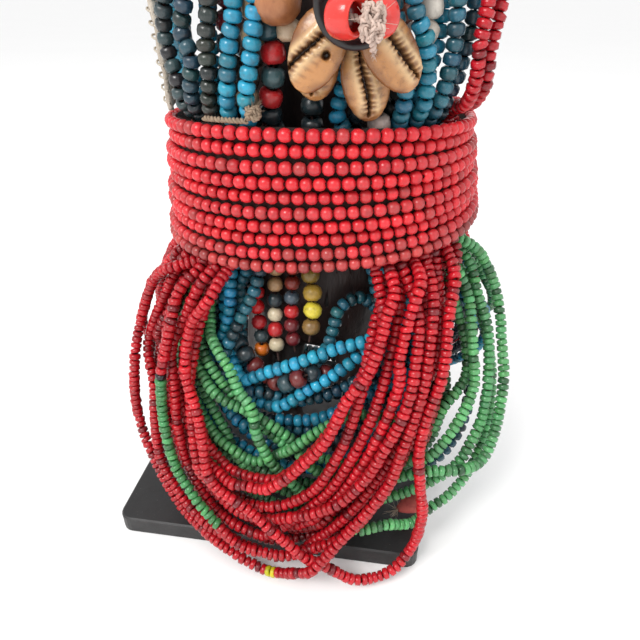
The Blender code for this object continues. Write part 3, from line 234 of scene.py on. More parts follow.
# Pieces of their own, placed as (angle, height, layer)
DISC_AT = (15, 179, 9.3)
NUT_AT = (-5.5, 177, -1.5)
CONE_AT = (44.2, 7.4, -13)
HIDE_ANGLES = (-58, -104)
HIDE_HEIGHTS = (150, 200)
HIDE_LAYER = -1.5
CORD_ANGLES = (-31, -15)

# Cowries hang behind the disc: right of, above and in front of its centre as shares of a shell's length,
# then turned about the vertical, leaned to the right and tipped forward by degrees
COWRIES_AT = ((-0.400, -0.505, -0.359, -8.7, 24, -4), (0.263, -0.877, -0.588, 4.1, -10, 0),
              (0.485, -0.531, -0.228, 10.2, -36, -8), (-0.375, -0.633, -0.750, -10.2, 0, 0))
# The knot's tail, the same way from the knot, as shares of its height
TAIL_AT = ((0.05, -0.55, -0.08), (0.12, -0.82, -0.25))
KNOT_ASIDE = 0.0008
RING_BEAD_TURN = 24
BARREL_RUNS = (-0.5, -0.3, 0.3, 0.5)
BARREL_SHARES = (0.36, 0.5, 0.5, 0.36)

# Camera, as a pinhole that matches the photograph's view
CAMERA_AT = (0.0406, -0.1895, 0.1886)
CAMERA_LENS = 30.13
CAMERA_SENSOR = 36
CAMERA_PITCH = 31.43
CAMERA_YAW = -8.17
CAMERA_ROLL = 0.31
CAMERA_NEAR = 0.01

# Lights: where, size, power and colour
LIGHTS = (
    ("key", (-0.45, -0.75, 0.95), 0.45, 10.5, (1.0, 0.985, 0.965)),
    ("fill", (0.95, -0.50, 0.60), 0.8, 2.0, (0.97, 0.985, 1.0)),
    ("back", (0.1, 0.9, 0.8), 0.8, 2.5, (1.0, 1.0, 1.0)),
)
LIGHTS_AIM = (0.0, 0.0, 0.12)
WORLD_LIGHT = 1.0
FLOOR_TONES = ((0.94, 0.94, 0.94), (0.95, 0.95, 0.95))
FLOOR_REACH = 30.0

# Share of a colour as seen in the photograph that its surface has, under this light
SEEN = 0.80
GRIME = (0.030, 0.016, 0.012)
CHIPPED = (0.42, 0.30, 0.26)
FIBRE_SHADE = (0.04, 0.028, 0.02)

# Distance between beads on a strand
SEED_PITCH = 0.00224
BLUE_PITCH = 0.0034
MIXED_PITCH = 0.0053
BELT_PITCH = 0.00382
DROP_PITCH = 0.95

# Beads as (along, out) shares of half a length and of a radius, and how they vary
SEED_PROFILE = ((-0.78, 0.30), (-0.96, 0.58), (-0.60, 0.97), (0.60, 0.97), (0.96, 0.58), (0.78, 0.30))
ROUND_PROFILE = ((-0.78, 0.22), (-0.94, 0.44), (-0.58, 0.86), (0, 1), (0.58, 0.86), (0.94, 0.44),
                 (0.78, 0.22))
DRUM_PROFILE = ((-0.78, 0.26), (-0.96, 0.54), (-0.62, 0.92), (0, 1), (0.62, 0.92), (0.96, 0.54),
                (0.78, 0.26))
# Share of its colour kept at the ends of every bead, round its hole where it meets the next bead: painted
# shade
BEAD_END_SHADE = 0.30
LOOK_AHEAD = 0.0009
BEAD_STRAY = 0.03
BEAD_SWELL = 0.55
BEAD_FILL = 0.99

# Other turned pieces, the same way
NUT_PROFILE = ((-0.92, 0.16), (-1, 0.30), (-0.86, 0.62), (-0.5, 0.92), (0, 1), (0.5, 0.92), (0.86, 0.62),
               (1, 0.30), (0.92, 0.16))
NUT_RADIUS = 0.53 * NUT_BEAD
NUT_LIFT = 2.6
DISC_PROFILE = ((0.55, 0), (0.55, 0.30), (0.60, 0.72), (0.62, 0.80), (0.92, 0.84), (1, 0.88), (0.98, 0.93),
                (0.72, 0.985), (0, 1), (-0.72, 0.985), (-1, 0.93), (-1, 0.3), (-1, 0))
CONE_PROFILE = ((-1, 0), (-1, 0.28), (-0.8, 0.42), (-0.4, 0.66), (0, 0.84), (0.4, 0.97), (0.62, 1),
                (0.82, 0.95), (0.95, 0.78), (1, 0.45), (1, 0))

# Belt: the rows with dusty beads, where its beads start, and the cloth behind them
DUSTY_ROWS = (1, 4, 7)
BELT_START = 80
CLOTH_ROWS = 12
CLOTH_COLUMNS = 145
CLOTH_IN = 1.5

# Thread, twine and its loose fibres. The slants are directions that no strand runs along
THREAD = 0.00045
ROPE_SLANT = (0.3, 0.2, 0.93)
TURNED_SLANT = (0.13, 0.21, 0.97)
PLY_SLANT = (0.31, 0.17, 0.93)
TWINE_STEP = 0.00035
PLIES = 2
TURNS_PER_METRE = 420
PLY_OUT = 0.52
PLY_SIZE = 0.56
FIBRE_SIZES = (0.00011, 0.00004)
KNOT_SHIFT = (0.0006, -0.0008)
TAIL_SHARE = 0.86
CORD_KNOT_SHIFT = (0.0016, 0.0, 0.0020)
CORD_PLY = 0.0006

# Figure: mesh, knife marks, and cuts for the face, hair and toes, in doll millimetres
FIGURE_WELD = 0.00002
FIGURE_VOXEL = 0.0016
FOOT_LIFT = 0.0002
KNIFE_DEPTH = 0.22
EYE_ASIDE = 12.5
EYE_HEIGHT = 334
CHEEK_ASIDE = 24
CHEEK_CUTS = (318, 322, 326, 330)
MOUTH_HEIGHT = 304.5
HAIR_FROM = 350
HAIR_DEPTH = 0.35
HAIR_LOCKS = 19.8
FOOT_ASIDE = 18
TOES_BELOW = 6
TOE_GAPS = (-6, -1.5, 3, 7.5)

# Hide: grid, ragged edge, swell, and a stitch as (angle from the edge, above, layer)
HIDE_ROWS = 65
HIDE_COLUMNS = 41
HIDE_RAGGED = 1.28
HIDE_SWELL = 0.25
STITCH = ((0.2, 0, 0.9), (-3, 0.3, 2.1), (-7, 0.9, 2.2), (-8, 1, 1.4))
STITCH_PITCH = 3.4
HAIR_PITCH = 0.8

# Slits of the cowries: where across, slope, bend, and a hole as (across, along, there or not)
SLITS = ((-0.14, 0.36, 0.6, (0.0024, 0.0, 1)), (-0.06, 0.03, -0.6, (0, 0, 0)), (0.09, -0.15, 0.2, (0, 0, 0)),
         (0.0, 0.1, 0.3, (0, 0, 0)))
TOOTH_PITCH = 0.0014
TOOTH_LENGTH = 0.00022
SHELL_OUTLINE = ((-0.5, 0.02), (-0.485, 0.13), (-0.44, 0.235), (-0.36, 0.335), (-0.25, 0.42), (-0.1, 0.48),
                 (0.06, 0.5), (0.2, 0.475), (0.32, 0.41), (0.41, 0.315), (0.47, 0.195), (0.495, 0.09),
                 (0.5, 0.02))
SHELL_ROWS = 104
SHELL_COLUMNS = 92
SHELL_FLAT = 0.80
SLIT_WIDTH, SLIT_DEPTH = 0.00062, 0.0023
LIP_AT, LIP_WIDTH, LIP_RISE = 0.0019, 0.0013, 0.00070
NOTCH_AT, NOTCH_WIDTH, NOTCH_DEPTH = 0.0011, 0.00075, 0.00040
CREASE_AT, CREASE_WIDTH, CREASE_DEPTH = 0.0030, 0.0016, 0.00012
HOLE_RADIUS, HOLE_DEPTH = 0.00105, 0.0022

# Hole of the ring beads, wide enough for the twine
BARREL_HOLE = 0.0046
BARREL_LEANS = {-1: 26, 1: 8}
BARREL_SHIFTS = {-1: (0.0, 0.0), 1: (0.0014, 0.0010)}
BARREL_SIDES = 48
# Share of the way into a ring bead's hole beyond which its glass is painted dark red: painted shade inside
# the hole
BARREL_SHADED_FROM = 0.78

# Sides of the small beads
SEED_SIDES = 8
LOOP_SIDES = 8
CHEST_SIDES = 10
ROUND_SIDES = 14

# Red strands that have a green stretch and a yellow bead
GREEN_PART_OF = 2
YELLOW_BEAD_OF = 0

# Bead colours of the mixed strands from places by height, as seen on screen
MEDLEY = ((38, 62, 70), (150, 40, 40), (206, 190, 160), (52, 84, 90), (186, 42, 44), (60, 50, 44),
          (36, 52, 58), (112, 34, 36), (60, 96, 104))
CHAIN_COLOURS = ((151, (30, 44, 50)), (155.6, (182, 40, 42)), (160.3, (60, 88, 92)), (165.9, (186, 36, 40)),
                 (170.8, (40, 78, 88)), (177, (120, 60, 40)), (184, (120, 36, 38)))
ADDED_COLOURS = (
    ((178.6, (226, 216, 204)), (174.5, (124, 44, 52)), (170.6, (206, 194, 180)), (165, (74, 70, 50)),
     (160, (50, 60, 60)), (154, (36, 44, 46))),
    ((180, (96, 36, 40)), (175, (110, 34, 42)), (168, (36, 40, 42)), (160, (52, 60, 60)),
     (154, (30, 36, 40))),
    ((172, (196, 176, 140)), (162, (60, 56, 52)), (157.5, (196, 178, 146)), (151.8, (32, 48, 52))),
    ((160, (44, 52, 54)), (155, (34, 48, 52)), (150.5, (30, 40, 44))),
    ((156, (60, 60, 60)), (150.5, (176, 160, 152))),
    ((74, (40, 62, 70)), (66, (110, 40, 40)), (63.4, (112, 46, 42)), (64.9, (56, 78, 84)),
     (67.2, (116, 44, 44)), (70, (36, 50, 56)), (76, (100, 34, 36))),
    ((172, (206, 180, 150)),),
)
DROP_COLOURS = (
    ((93.8, (70, 92, 98)), (88.2, (206, 30, 34)), (80.2, (176, 34, 40)), (75.1, (54, 70, 74)),
     (69.9, (226, 120, 40)), (64.4, (110, 34, 38))),
    ((94.6, (186, 146, 104)), (90.6, (36, 52, 58)), (85.1, (212, 196, 166)), (80.3, (190, 40, 44)),
     (75.0, (208, 192, 160)), (70.9, (40, 58, 64))),
    ((96.7, (134, 46, 36)), (92.7, (74, 88, 100)), (88.6, (190, 38, 42)), (84.0, (56, 98, 116)),
     (80.0, (112, 34, 40)), (72.3, (38, 54, 62))),
    ((98.2, (134, 108, 44)), (92.7, (180, 146, 60)), (87.2, (228, 210, 70)), (82.0, (140, 108, 60)),
     (77.4, (90, 58, 40))),
    ((100.0, (212, 196, 168)), (96.2, (128, 34, 40)), (92.3, (210, 194, 164))),
)
DROP_SIZES = (0.0056, 0.0057, 0.0054, 0.0064, 0.0056)
NEAR_PLACE = 5
# Necklaces on the doll's right and left: usual colour, how light and hue vary, worn colour and its share
NECKLACE_COLOURS = (
    (((40, 42, 42), 0.25, 0.10, (62, 84, 88), 0.3), ((44, 74, 84), 0.20, 0.08, (26, 34, 38), 0.45),
     ((50, 58, 54), 0.22, 0.08, (28, 34, 36), 0.3), ((44, 146, 176), 0.14, 0.05, (48, 104, 122), 0.2)),
    (((34, 58, 68), 0.2, 0.08, (30, 84, 104), 0.3), ((44, 104, 124), 0.16, 0.06, (38, 72, 84), 0.2),
     ((44, 132, 160), 0.12, 0.05, (48, 104, 122), 0.2), ((44, 118, 142), 0.14, 0.05, (44, 86, 98), 0.3)),
)

# Ends of strands that show a little beside their solids: route, first angle, last angle, first points
RED_CHANGES = {
    2: (-50, 51, ()),
    4: (-47, 60, ()),
    5: (-49, 39, ((-43, 95, -7), (-40, 65, -7), (-35, 49, -6))),
    6: (-54, 41, ((-50, 90, -10), (-46, 60, -10), (-38, 44, -8))),
    7: (-52, 44, ()),
}
GREEN_CHANGES = {
    0: (-56, 72, ((-54, 100, -12), (-50, 88, -12), (-44, 80, -11))),
    1: (-60, 68, ((-58, 98, -11), (-54, 80, -11), (-46, 70, -9.5))),
    3: (-60, 57, ((-58, 90, -13), (-48, 60, -12))),
}
BLUE_CHANGES = {
    3: (-52, 47, ((-52, 88, -20), (-40, 60, -20))),
    4: (-44, 54, ((-44, 84, -24), (-30, 60, -24))),
}
NECKLACE_CHANGES = {
    0: (-53, -293, ((-51, 146, -7), (-47, 152, 0), (-46, 159, 0))),
    1: (-45, -303, ((-43, 146, -7), (-40, 152, -1), (-37, 161, 0))),
    2: (-37, -312, ((-35, 147, -7), (-32, 152, -1), (-29, 161, 0))),
    3: (-30, -320, ((-28, 147, -7), (-25, 152, -2), (-22.5, 159, 0))),
}

# Strands under the outer ones, as the routes above
INNER_RED_ROUTES = (
    (-66, 58, ((-66, 96, -9), (-64, 66), (-53, 34), (-36, 14), (-14, 5), (4, 8), (22, 24), (38, 46),
        (50, 72), (56, 98))),
    (-60, 56, ((-62, 96, -9), (-60, 60), (-47, 34), (-26, 16), (-6, 10), (12, 20), (28, 38), (42, 60),
        (52, 94))),
    (-64, 62, ((-64, 96, -10), (-60, 54), (-42, 24), (-18, 8), (8, 12), (28, 32), (46, 60), (58, 96))),
)
INNER_GREEN_ROUTES = (
    (-62, 60, ((-64, 98, -13), (-58, 62, -14), (-38, 40), (-10, 28), (16, 26), (40, 34, -13), (54, 56),
        (60, 98))),
    (-64, 58, ((-66, 96, -12), (-58, 50, -13), (-32, 26), (-4, 16), (22, 20), (42, 40), (56, 96))),
)
INNER_BLUE_ROUTES = (
    (-58, 58, ((-56, 92, -17), (-51, 66, -18), (-36, 56), (-18, 56, -19), (0, 58), (16, 62), (36, 72, -18),
        (52, 94, -17))),
    (-60, 60, ((-57, 90, -18), (-49, 58), (-32, 48), (-12, 47, -19), (6, 49), (24, 57), (44, 74, -18),
        (56, 96, -17))),
    (-56, 56, ((-55, 92, -20), (-47, 60), (-28, 44), (-8, 38, -21), (14, 40), (36, 54, -20),
        (53, 88, -19))),
    (-62, 62, ((-60, 92, -21), (-49, 54, -22), (-24, 42, -24), (0, 38, -25), (24, 44, -24), (47, 62, -22),
        (58, 94, -20))),
    (-66, 64, ((-62, 92, -17), (-54, 54, -18), (-32, 34), (-10, 26, -19), (14, 26), (40, 40, -18),
        (58, 66, -17), (62, 98, -16))),
    (-54, 56, ((-55, 90, -24), (-46, 66), (-22, 56), (0, 54), (20, 58), (42, 72, -23), (54, 96, -22))),
    (-52, 54, ((-56, 88, -22), (-46, 52), (-24, 34, -23), (0, 26, -24), (24, 32, -23), (46, 54, -22),
        (56, 92, -21))),
)
BACK_ROUTES = (
    (98, 258, ((100, 62, -12), (128, 22, -13), (160, 7, -14), (188, 5), (222, 18), (252, 56, -12))),
    (96, 256, ((98, 58, -9), (128, 18, -10), (160, 4, -11), (188, 2.8), (222, 14), (254, 52, -9))),
    (100, 254, ((103, 66, -14), (129, 26, -15), (160, 10.5, -16.5), (188, 8), (222, 22, -15.5),
        (250, 60, -14))),
    (102, 252, ((106, 70, -16), (130, 30, -17), (160, 14, -19), (188, 11), (222, 26, -17),
        (248, 64, -16))),
    (96, 262, ((98, 92, -18), (112, 56), (140, 40), (180, 34), (220, 42), (248, 58), (260, 92))),
    (104, 254, ((106, 94, -20), (122, 66, -21), (150, 50, -22), (180, 46), (210, 50), (238, 66, -21),
        (252, 94, -20))),
    (112, 246, ((114, 96, -22), (130, 74, -24), (156, 62, -25), (180, 58), (204, 62), (230, 76, -24),
        (244, 96, -22))),
    (120, 238, ((122, 98, -22), (140, 82, -24), (160, 74, -25), (180, 72), (200, 75), (222, 84, -24),
        (236, 98, -22))),
    (128, 230, ((130, 102, -20), (146, 92, -22), (164, 86, -23), (180, 85), (196, 87), (214, 93, -22),
        (228, 102, -20))),
)
NECKLACES_ADDED = (
    ((-26, 138, -12), (-24, 146, -6), (-20.5, 152, -1), (-18, 158, 0), (-16, 165), (-14.5, 178),
        (-16, 200), (-19, 222), (-34, 247), (-76, 268), (-180, 280), (-284, 268), (-326, 247), (-342, 222),
        (-344, 200, -4), (-343, 180, -8), (-342, 160, -10), (-342, 146, -12)),
    ((-50, 140, -14), (-49, 150, -8), (-50, 165, -5), (-48, 182), (-46, 205, -4), (-52, 232, -3),
        (-80, 248), (-110, 250), (-130, 230, -4), (-134, 200, -5), (-134, 160, -7), (-134, 142, -12)),
    ((44, 140, -16), (45, 150, -9), (46, 166, -6), (48, 182), (46, 205, -5), (52, 232, -4), (80, 246),
        (110, 248), (126, 230, -5), (128, 200, -6), (126, 160, -8), (126, 142, -12)),
    ((-60, 138, -14), (-58, 150, -8), (-57, 165, -6), (-55, 182), (-54, 205), (-60, 230, -5), (-84, 244),
        (-110, 246), (-124, 228, -6), (-126, 200, -7), (-126, 160, -9), (-126, 142, -13)),
    ((-38, 138, -14), (-37, 150, -9), (-36, 165, -7), (-35, 182), (-36, 205, -6), (-44, 230, -5),
        (-76, 244), (-112, 244, -6), (-138, 226), (-142, 200, -7), (-142, 160, -9), (-142, 142, -13)),
)
MIXED_ADDED = (
    ((40, 142, -18), (38, 152, -12), (40, 160, -8), (41.6, 170.6, -6), (44, 174.5, -5), (43, 178.6),
        (42, 200, -6)),
    ((-26, 142, -16), (-25, 154, -9), (-25, 168, -7), (-24.2, 176, -5), (-25, 200, -6)),
    ((-19, 142, -16), (-15.5, 150, -9), (-14.6, 157.5, -7), (-16, 172, -8), (-17, 200)),
    ((4, 142, -16), (3, 151, -13), (4, 158), (6, 166)),
    ((27, 144, -16), (26.6, 150.5, -8), (24, 158, -11)),
    ((-38, 74, -22), (-31, 66, -19), (-23, 63, -18), (-15.7, 63.4, -17), (-8.6, 64.9), (-1.8, 67.2),
        (6, 67, -18), (13, 65, -20)),
    ((-3.2, 170, -5), (-3.2, 172.7), (-3.2, 175.4)),
)


def reach(angle, half_width, half_depth, power=SUPERELLIPSE):
    """How far a rounded oval reaches at this angle from the front."""
    side, front = abs(math.sin(math.radians(angle))), abs(math.cos(math.radians(angle)))
    return ((side / half_width) ** power + (front / half_depth) ** power) ** (-1 / power)


def out_from(angle, height, far):
    """The point at an angle, this high and this far out from the doll's middle line, in metres."""
    turned = math.radians(angle)
    return np.array((DOLL_X + far * math.sin(turned) * UNIT, -far * math.cos(turned) * UNIT,
                     PLATE_THICKNESS + height * UNIT))


def place(angle, height, layer=0.0):
    """The point at an angle, a height and a layer of the dressed doll, in metres."""
    heights, widths, depths = np.transpose(ENVELOPE)
    far = reach(angle, np.interp(height, heights, widths) + layer, np.interp(height, heights, depths) + layer)
    return out_from(angle, height, far)


def distances(points):
    """How far along a line each of its points is."""
    return np.concatenate([[0], np.cumsum(np.linalg.norm(np.diff(points, axis=0), axis=1))])


def sampled(points, runs):
    """Points of a line at distances along it."""
    marks = distances(points)
    return np.stack([np.interp(runs, marks, points[:, k]) for k in range(3)], axis=1)


def smooth(knots, step):
    """Points every step along a centripetal Catmull-Rom curve through the knots."""
    knots = np.array(knots)
    padded = np.vstack([2 * knots[0] - knots[1], knots, 2 * knots[-1] - knots[-2]])
    times = np.concatenate([[0], np.cumsum(np.linalg.norm(np.diff(padded, axis=0), axis=1) ** 0.5)])
    fine = []
    for i in range(1, len(padded) - 2):
        t0, t1, t2, t3 = times[i - 1:i + 3]
        p0, p1, p2, p3 = padded[i - 1:i + 3]
        t = np.linspace(t1, t2, 24, endpoint=False)[:, None]
        a1 = (t1 - t) / (t1 - t0) * p0 + (t - t0) / (t1 - t0) * p1
        a2 = (t2 - t) / (t2 - t1) * p1 + (t - t1) / (t2 - t1) * p2
        a3 = (t3 - t) / (t3 - t2) * p2 + (t - t2) / (t3 - t2) * p3
        b1 = (t2 - t) / (t2 - t0) * a1 + (t - t0) / (t2 - t0) * a2
        b2 = (t3 - t) / (t3 - t1) * a2 + (t - t1) / (t3 - t1) * a3
        fine.append((t2 - t) / (t2 - t1) * b1 + (t - t1) / (t2 - t1) * b2)
    fine = np.vstack(fine + [knots[-1:]])
    length = distances(fine)[-1]
    return sampled(fine, np.linspace(0, length, max(2, round(length / step)) + 1))


def settle(strands, radii, groups, rings, rounds=90, reach_out=0.013):
    """Bend strands softly apart where they press into each other or into the other pieces.

    rings are (points, radius, group) of the thread rings, which stay, as do the strands' tied ends.
    """
    lines = list(strands) + [ring for ring, _, _ in rings]
    starts = np.cumsum([0] + [len(line) for line in lines])
    owner = np.repeat(np.arange(len(lines)), np.diff(starts))
    thick = np.array(list(radii) + [radius for _, radius, _ in rings])[owner]
    group = np.array(list(groups) + [number for _, _, number in rings])[owner]
    rest = np.vstack(lines)
    held = owner >= len(strands)
    for a, b in zip(starts[:len(strands)], starts[1:]):
        held[a:a + 2] = True
        held[b - 2:b] = rest[b - 1, 2] > PLATE_THICKNESS + 115 * UNIT
    tied = owner >= len(strands)
    tree = KDTree(len(rest))
    for i, point in enumerate(rest):
        tree.insert(point, i)
    tree.balance()
    pairs = []
    for i, point in enumerate(rest):
        for _, j, _ in tree.find_range(point, reach_out):
            apart = owner[i] != owner[j] and not (held[i] and held[j])
            if j > i and apart and not ((tied[i] or tied[j]) and group[i] == group[j]):
                pairs.append((i, j))
    first, second = np.array(pairs).T
    wanted = thick[first] + thick[second] + np.where(group[first] == group[second], GAP, COLOUR_GAP)
    first_share = np.where(held[first], 0.0, np.where(held[second], 1.0, 0.5))
    second_share = np.where(held[second], 0.0, np.where(held[first], 1.0, 0.5))
    shift = np.zeros_like(rest)
    for _ in range(rounds):
        now = rest + shift
        apart = now[second] - now[first]
        far = np.linalg.norm(apart, axis=1)
        press = np.clip(wanted - far, 0, None)
        push = apart / np.maximum(far, 1e-6)[:, None] * (0.6 * press)[:, None]
        move = np.zeros_like(rest)
        count = np.zeros(len(rest))
        np.add.at(move, first, -push * first_share[:, None])
        np.add.at(move, second, push * second_share[:, None])
        np.add.at(count, first[press > 0], 1)
        np.add.at(count, second[press > 0], 1)
        shift += move / np.maximum(1, count / 2)[:, None]
        for keep in (keep_off_body, keep_off_plate, keep_off_belt):
            shift += keep(rest + shift, thick)
        shift[held] = 0
        for a, b in zip(starts[:-1], starts[1:]):
            piece = shift[a:b]
            piece[1:-1] = 0.6 * piece[1:-1] + 0.2 * (piece[:-2] + piece[2:])
        shift[held] = 0
    settled = rest + shift
    return [settled[a:b] for a, b in zip(starts[:len(strands)], starts[1:])]


def keep_off_belt(points, thick):
    """The moves that bring points inside the belt's wall, or away from its top and bottom rows."""
    east, north = points[:, 0] - DOLL_X, points[:, 1]
    angles = np.degrees(np.arctan2(east, -north))
    span = np.hypot(east, north)
    moves = np.zeros_like(points)
    for i in np.flatnonzero(abs(points[:, 2] - PLATE_THICKNESS - 129 * UNIT) < 30 * UNIT):
        low, low_far = belt_row(0, angles[i])
        high, high_far = belt_row(BELT_ROWS - 1, angles[i])
        level = (points[i, 2] - PLATE_THICKNESS) / UNIT
        share = (level - low) / (high - low)
        if 0 < share < 1:
            most = (low_far + (high_far - low_far) * share) * UNIT - BELT_WALL - thick[i] - COLOUR_GAP
            outward = min(0.0, most - span[i])
            moves[i, :2] = np.array((east[i], north[i])) / span[i] * outward
            continue
        end, end_far = (low, low_far) if share <= 0 else (high, high_far)
        away = np.array((span[i] - (end_far - 0.5) * UNIT, (level - end) * UNIT))
        short = thick[i] + BELT_BEAD / 2 + EDGE_GAP - np.hypot(*away)
        if short > 0:
            inward = np.array((-0.8, math.copysign(0.6, away[1])))
            moves[i, :2] = np.array((east[i], north[i])) / span[i] * inward[0] * short
            moves[i, 2] = inward[1] * short
    return moves


def keep_off_body(points, thick):
    """The moves that bring points outside the figure's body."""
    heights, widths, depths, leans = np.transpose(BODY_RINGS)
    level = (points[:, 2] - PLATE_THICKNESS) / UNIT
    room = thick / UNIT + 2 * GAP / UNIT
    wide = np.interp(level, heights, widths) + room
    deep = np.interp(level, heights, depths) + room
    lean = np.interp(level, heights, leans)
    east = (points[:, 0] - DOLL_X) / UNIT
    north = points[:, 1] / UNIT + lean
    inside = np.hypot(east / wide, north / deep)
    outward = np.clip(1 / np.maximum(inside, 0.05) - 1, 0, 0.3)
    outward[(level < heights[0]) | (level > heights[-1])] = 0
    moves = np.zeros_like(points)
    moves[:, 0] = east * outward * UNIT
    moves[:, 1] = north * outward * UNIT
    return moves


def keep_off_plate(points, thick):
    """The moves that lift points off the plate's top, or bring them out from its edge."""
    room = thick + 2 * GAP
    over = np.minimum(PLATE_WIDTH / 2 + room - abs(points[:, 0]), PLATE_DEPTH / 2 + room - abs(points[:, 1]))
    lift = np.clip(PLATE_THICKNESS + room - points[:, 2], 0, None)
    lift[over < 0] = 0
    moves = np.zeros_like(points)
    upward = lift < np.clip(over, 0, None)
    moves[upward, 2] = lift[upward]
    sideways = (lift > 0) & ~upward
    moves[sideways, 1] = np.sign(points[sideways, 1]) * over[sideways]
    return moves


def belt_row(row, angle):
    """Centre of a row of the belt at an angle: height, and how far out, in doll millimetres."""
    share = row / (BELT_ROWS - 1)
    side, front = math.sin(math.radians(angle)), math.cos(math.radians(angle))

    def at_row(lowest, added):
        return lowest + added * share

    ends = BELT_FRONT_TILT if front > 0 else BELT_BACK_TILT
    height = at_row(*BELT_HEIGHT) + side * at_row(*BELT_SIDE_TILT) + abs(front) * at_row(*ends)
    far = reach(angle, at_row(*BELT_HALF_WIDTH), at_row(*BELT_HALF_DEPTH))
    return height, far - (BELT_RECESS / UNIT if row in RECESSED_ROWS else 0.0)


def ring_line(ring, steps):
    """The closed line of a thread ring, without its last point."""
    height, layer, _ = ring
    return [place(360 * k / steps, height, layer) for k in range(steps)]


def tucked(angle, ring):
    """Where a strand passes the belt's lower edge, inside its wall."""
    return angle, belt_row(0, angle)[0] - 1.5, ring[1] + 0.6


def carried(points):
    """The points of a route, each with its layer."""
    full = []
    for point in points:
        full.append(point if len(point) == 3 else (*point, full[-1][2]))
    return full


def drawn(points):
    """The smooth line of a route's points."""
    return smooth([place(*spot) for spot in carried(points)], SAMPLE)


def routed(route, ring, hangs=True):
    """The line of a strand from its thread ring and back, inside the belt's wall where it hangs below it."""
    first, last, points = route
    spots = [(first, *ring[:2]), *carried(points), (last, *ring[:2])]
    if hangs:
        spots[1:1] = [tucked(first, ring)]
        spots[-1:-1] = [tucked(last, ring)]
    return drawn(spots)


def dropped(route, ring):
    """The line of a strand that hangs from its thread ring by one end."""
    first, points = route
    return drawn([(first, *ring[:2]), *points])


def facing(angle):
    """The directions right, up and out at an angle from the front."""
    turned = math.radians(angle)
    out = np.array((math.sin(turned), -math.cos(turned), 0.0))
    up = np.array((0.0, 0.0, 1.0))
    return np.cross(up, out), up, out


def by_disc(aside, above, ahead, turn=0.0):
    """A point at an offset from the disc's centre, and the directions right, up and out of a piece there."""
    right, up, out = facing(DISC_AT[0])
    return place(*DISC_AT) + right * aside + up * above + out * ahead, *facing(DISC_AT[0] + turn)


def barrel_room():
    """Half of what a turned ring bead takes sideways, and half of what it takes in depth."""
    along, across = math.cos(math.radians(RING_BEAD_TURN)), math.sin(math.radians(RING_BEAD_TURN))
    corners = [(BARREL_LENGTH * run, BARREL_DIAMETER * size) for run, size in zip(BARREL_RUNS, BARREL_SHARES)]
    return (max(run * along + size * across for run, size in corners),
            max(run * across + size * along for run, size in corners))


def knot_frame():
    """The knot in the notch that the two ring beads leave open to the front."""
    _, deep = barrel_room()
    notch = KNOT_WIDTH / 2 / math.sin(math.radians(RING_BEAD_TURN))
    return by_disc(KNOT_ASIDE, -KNOT_HEIGHT / 3, DISC_THICKNESS / 2 + deep / 2 + notch + 2 * GAP)


def barrel_frame(side):
    """Centre and axis of the ring bead left, -1, or right, 1, of the knot, clear of the disc."""
    wide, deep = barrel_room()
    aside, ahead = KNOT_ASIDE + side * (wide + GAP / 2), DISC_THICKNESS / 2 + deep + GAP
    spot, right, _, out = by_disc(aside, -KNOT_HEIGHT / 3, ahead)
    turn = math.radians(RING_BEAD_TURN)
    return spot, right * math.cos(turn) - side * out * math.sin(turn)


def cowrie_frame(at):
    """A shell's centre, and its long, wide and forward directions."""
    aside, above, ahead, turn, roll, pitch = at
    spot, right, up, out = by_disc(*(COWRIE_LENGTH * share for share in (aside, above, ahead)), turn)
    lean, tip = math.radians(roll), math.radians(pitch)
    up, out = up * math.cos(tip) + out * math.sin(tip), out * math.cos(tip) - up * math.sin(tip)
    long_way = up * math.cos(lean) + right * math.sin(lean)
    wide_way = right * math.cos(lean) - up * math.sin(lean)
    return spot, long_way, wide_way, out


def set_camera():
    pitch, yaw, roll = (math.radians(a) for a in (CAMERA_PITCH, CAMERA_YAW, CAMERA_ROLL))
    ahead = Vector((math.sin(yaw) * math.cos(pitch), math.cos(yaw) * math.cos(pitch), -math.sin(pitch)))
    level = Vector((math.cos(yaw), -math.sin(yaw), 0.0))
    above = level.cross(ahead)
    right = level * math.cos(roll) + above * math.sin(roll)
    up = above * math.cos(roll) - level * math.sin(roll)
    data = bpy.data.cameras.new("camera")
    data.lens = CAMERA_LENS
    data.sensor_width = CAMERA_SENSOR
    data.clip_start = CAMERA_NEAR
    camera = bpy.data.objects.new("camera", data)
    turn = Matrix((right, up, -ahead)).transposed().to_4x4()
    camera.matrix_world = Matrix.Translation(CAMERA_AT) @ turn
    bpy.context.scene.collection.objects.link(camera)
    bpy.context.scene.camera = camera


def set_lights():
    for name, at, size, power, colour in LIGHTS:
        data = bpy.data.lights.new(name, "AREA")
        data.size, data.energy, data.color = size, power, colour
        light = bpy.data.objects.new(name, data)
        light.location = at
        light.rotation_euler = (Vector(LIGHTS_AIM) - Vector(at)).to_track_quat("-Z", "Y").to_euler()
        bpy.context.scene.collection.objects.link(light)
    world = bpy.data.worlds.new("studio")
    world.use_nodes = True
    sky = world.node_tree.nodes["Background"].inputs
    sky["Color"].default_value = (1.0, 1.0, 1.0, 1.0)
    sky["Strength"].default_value = WORLD_LIGHT
    bpy.context.scene.world = world
    bpy.context.scene.view_settings.view_transform = "Standard"


def srgb(red, green, blue):
    """The surface colour, in linear numbers, of what is seen as this colour, 0 to 255, in the photograph."""
    shares = np.array((red, green, blue)) / 255
    return SEEN * np.where(shares <= 0.04045, shares / 12.92, ((shares + 0.055) / 1.055) ** 2.4)


RED = srgb(196, 22, 36)
RED_DULL = srgb(120, 26, 34)
GREEN = srgb(92, 166, 104)
GREEN_DULL = srgb(46, 88, 56)
BRIGHT_BLUE = srgb(48, 168, 204)
MID_BLUE = srgb(34, 128, 160)
TEAL = srgb(36, 88, 104)
DARK_TEAL = srgb(30, 44, 50)
BELT_RED = srgb(222, 40, 50)


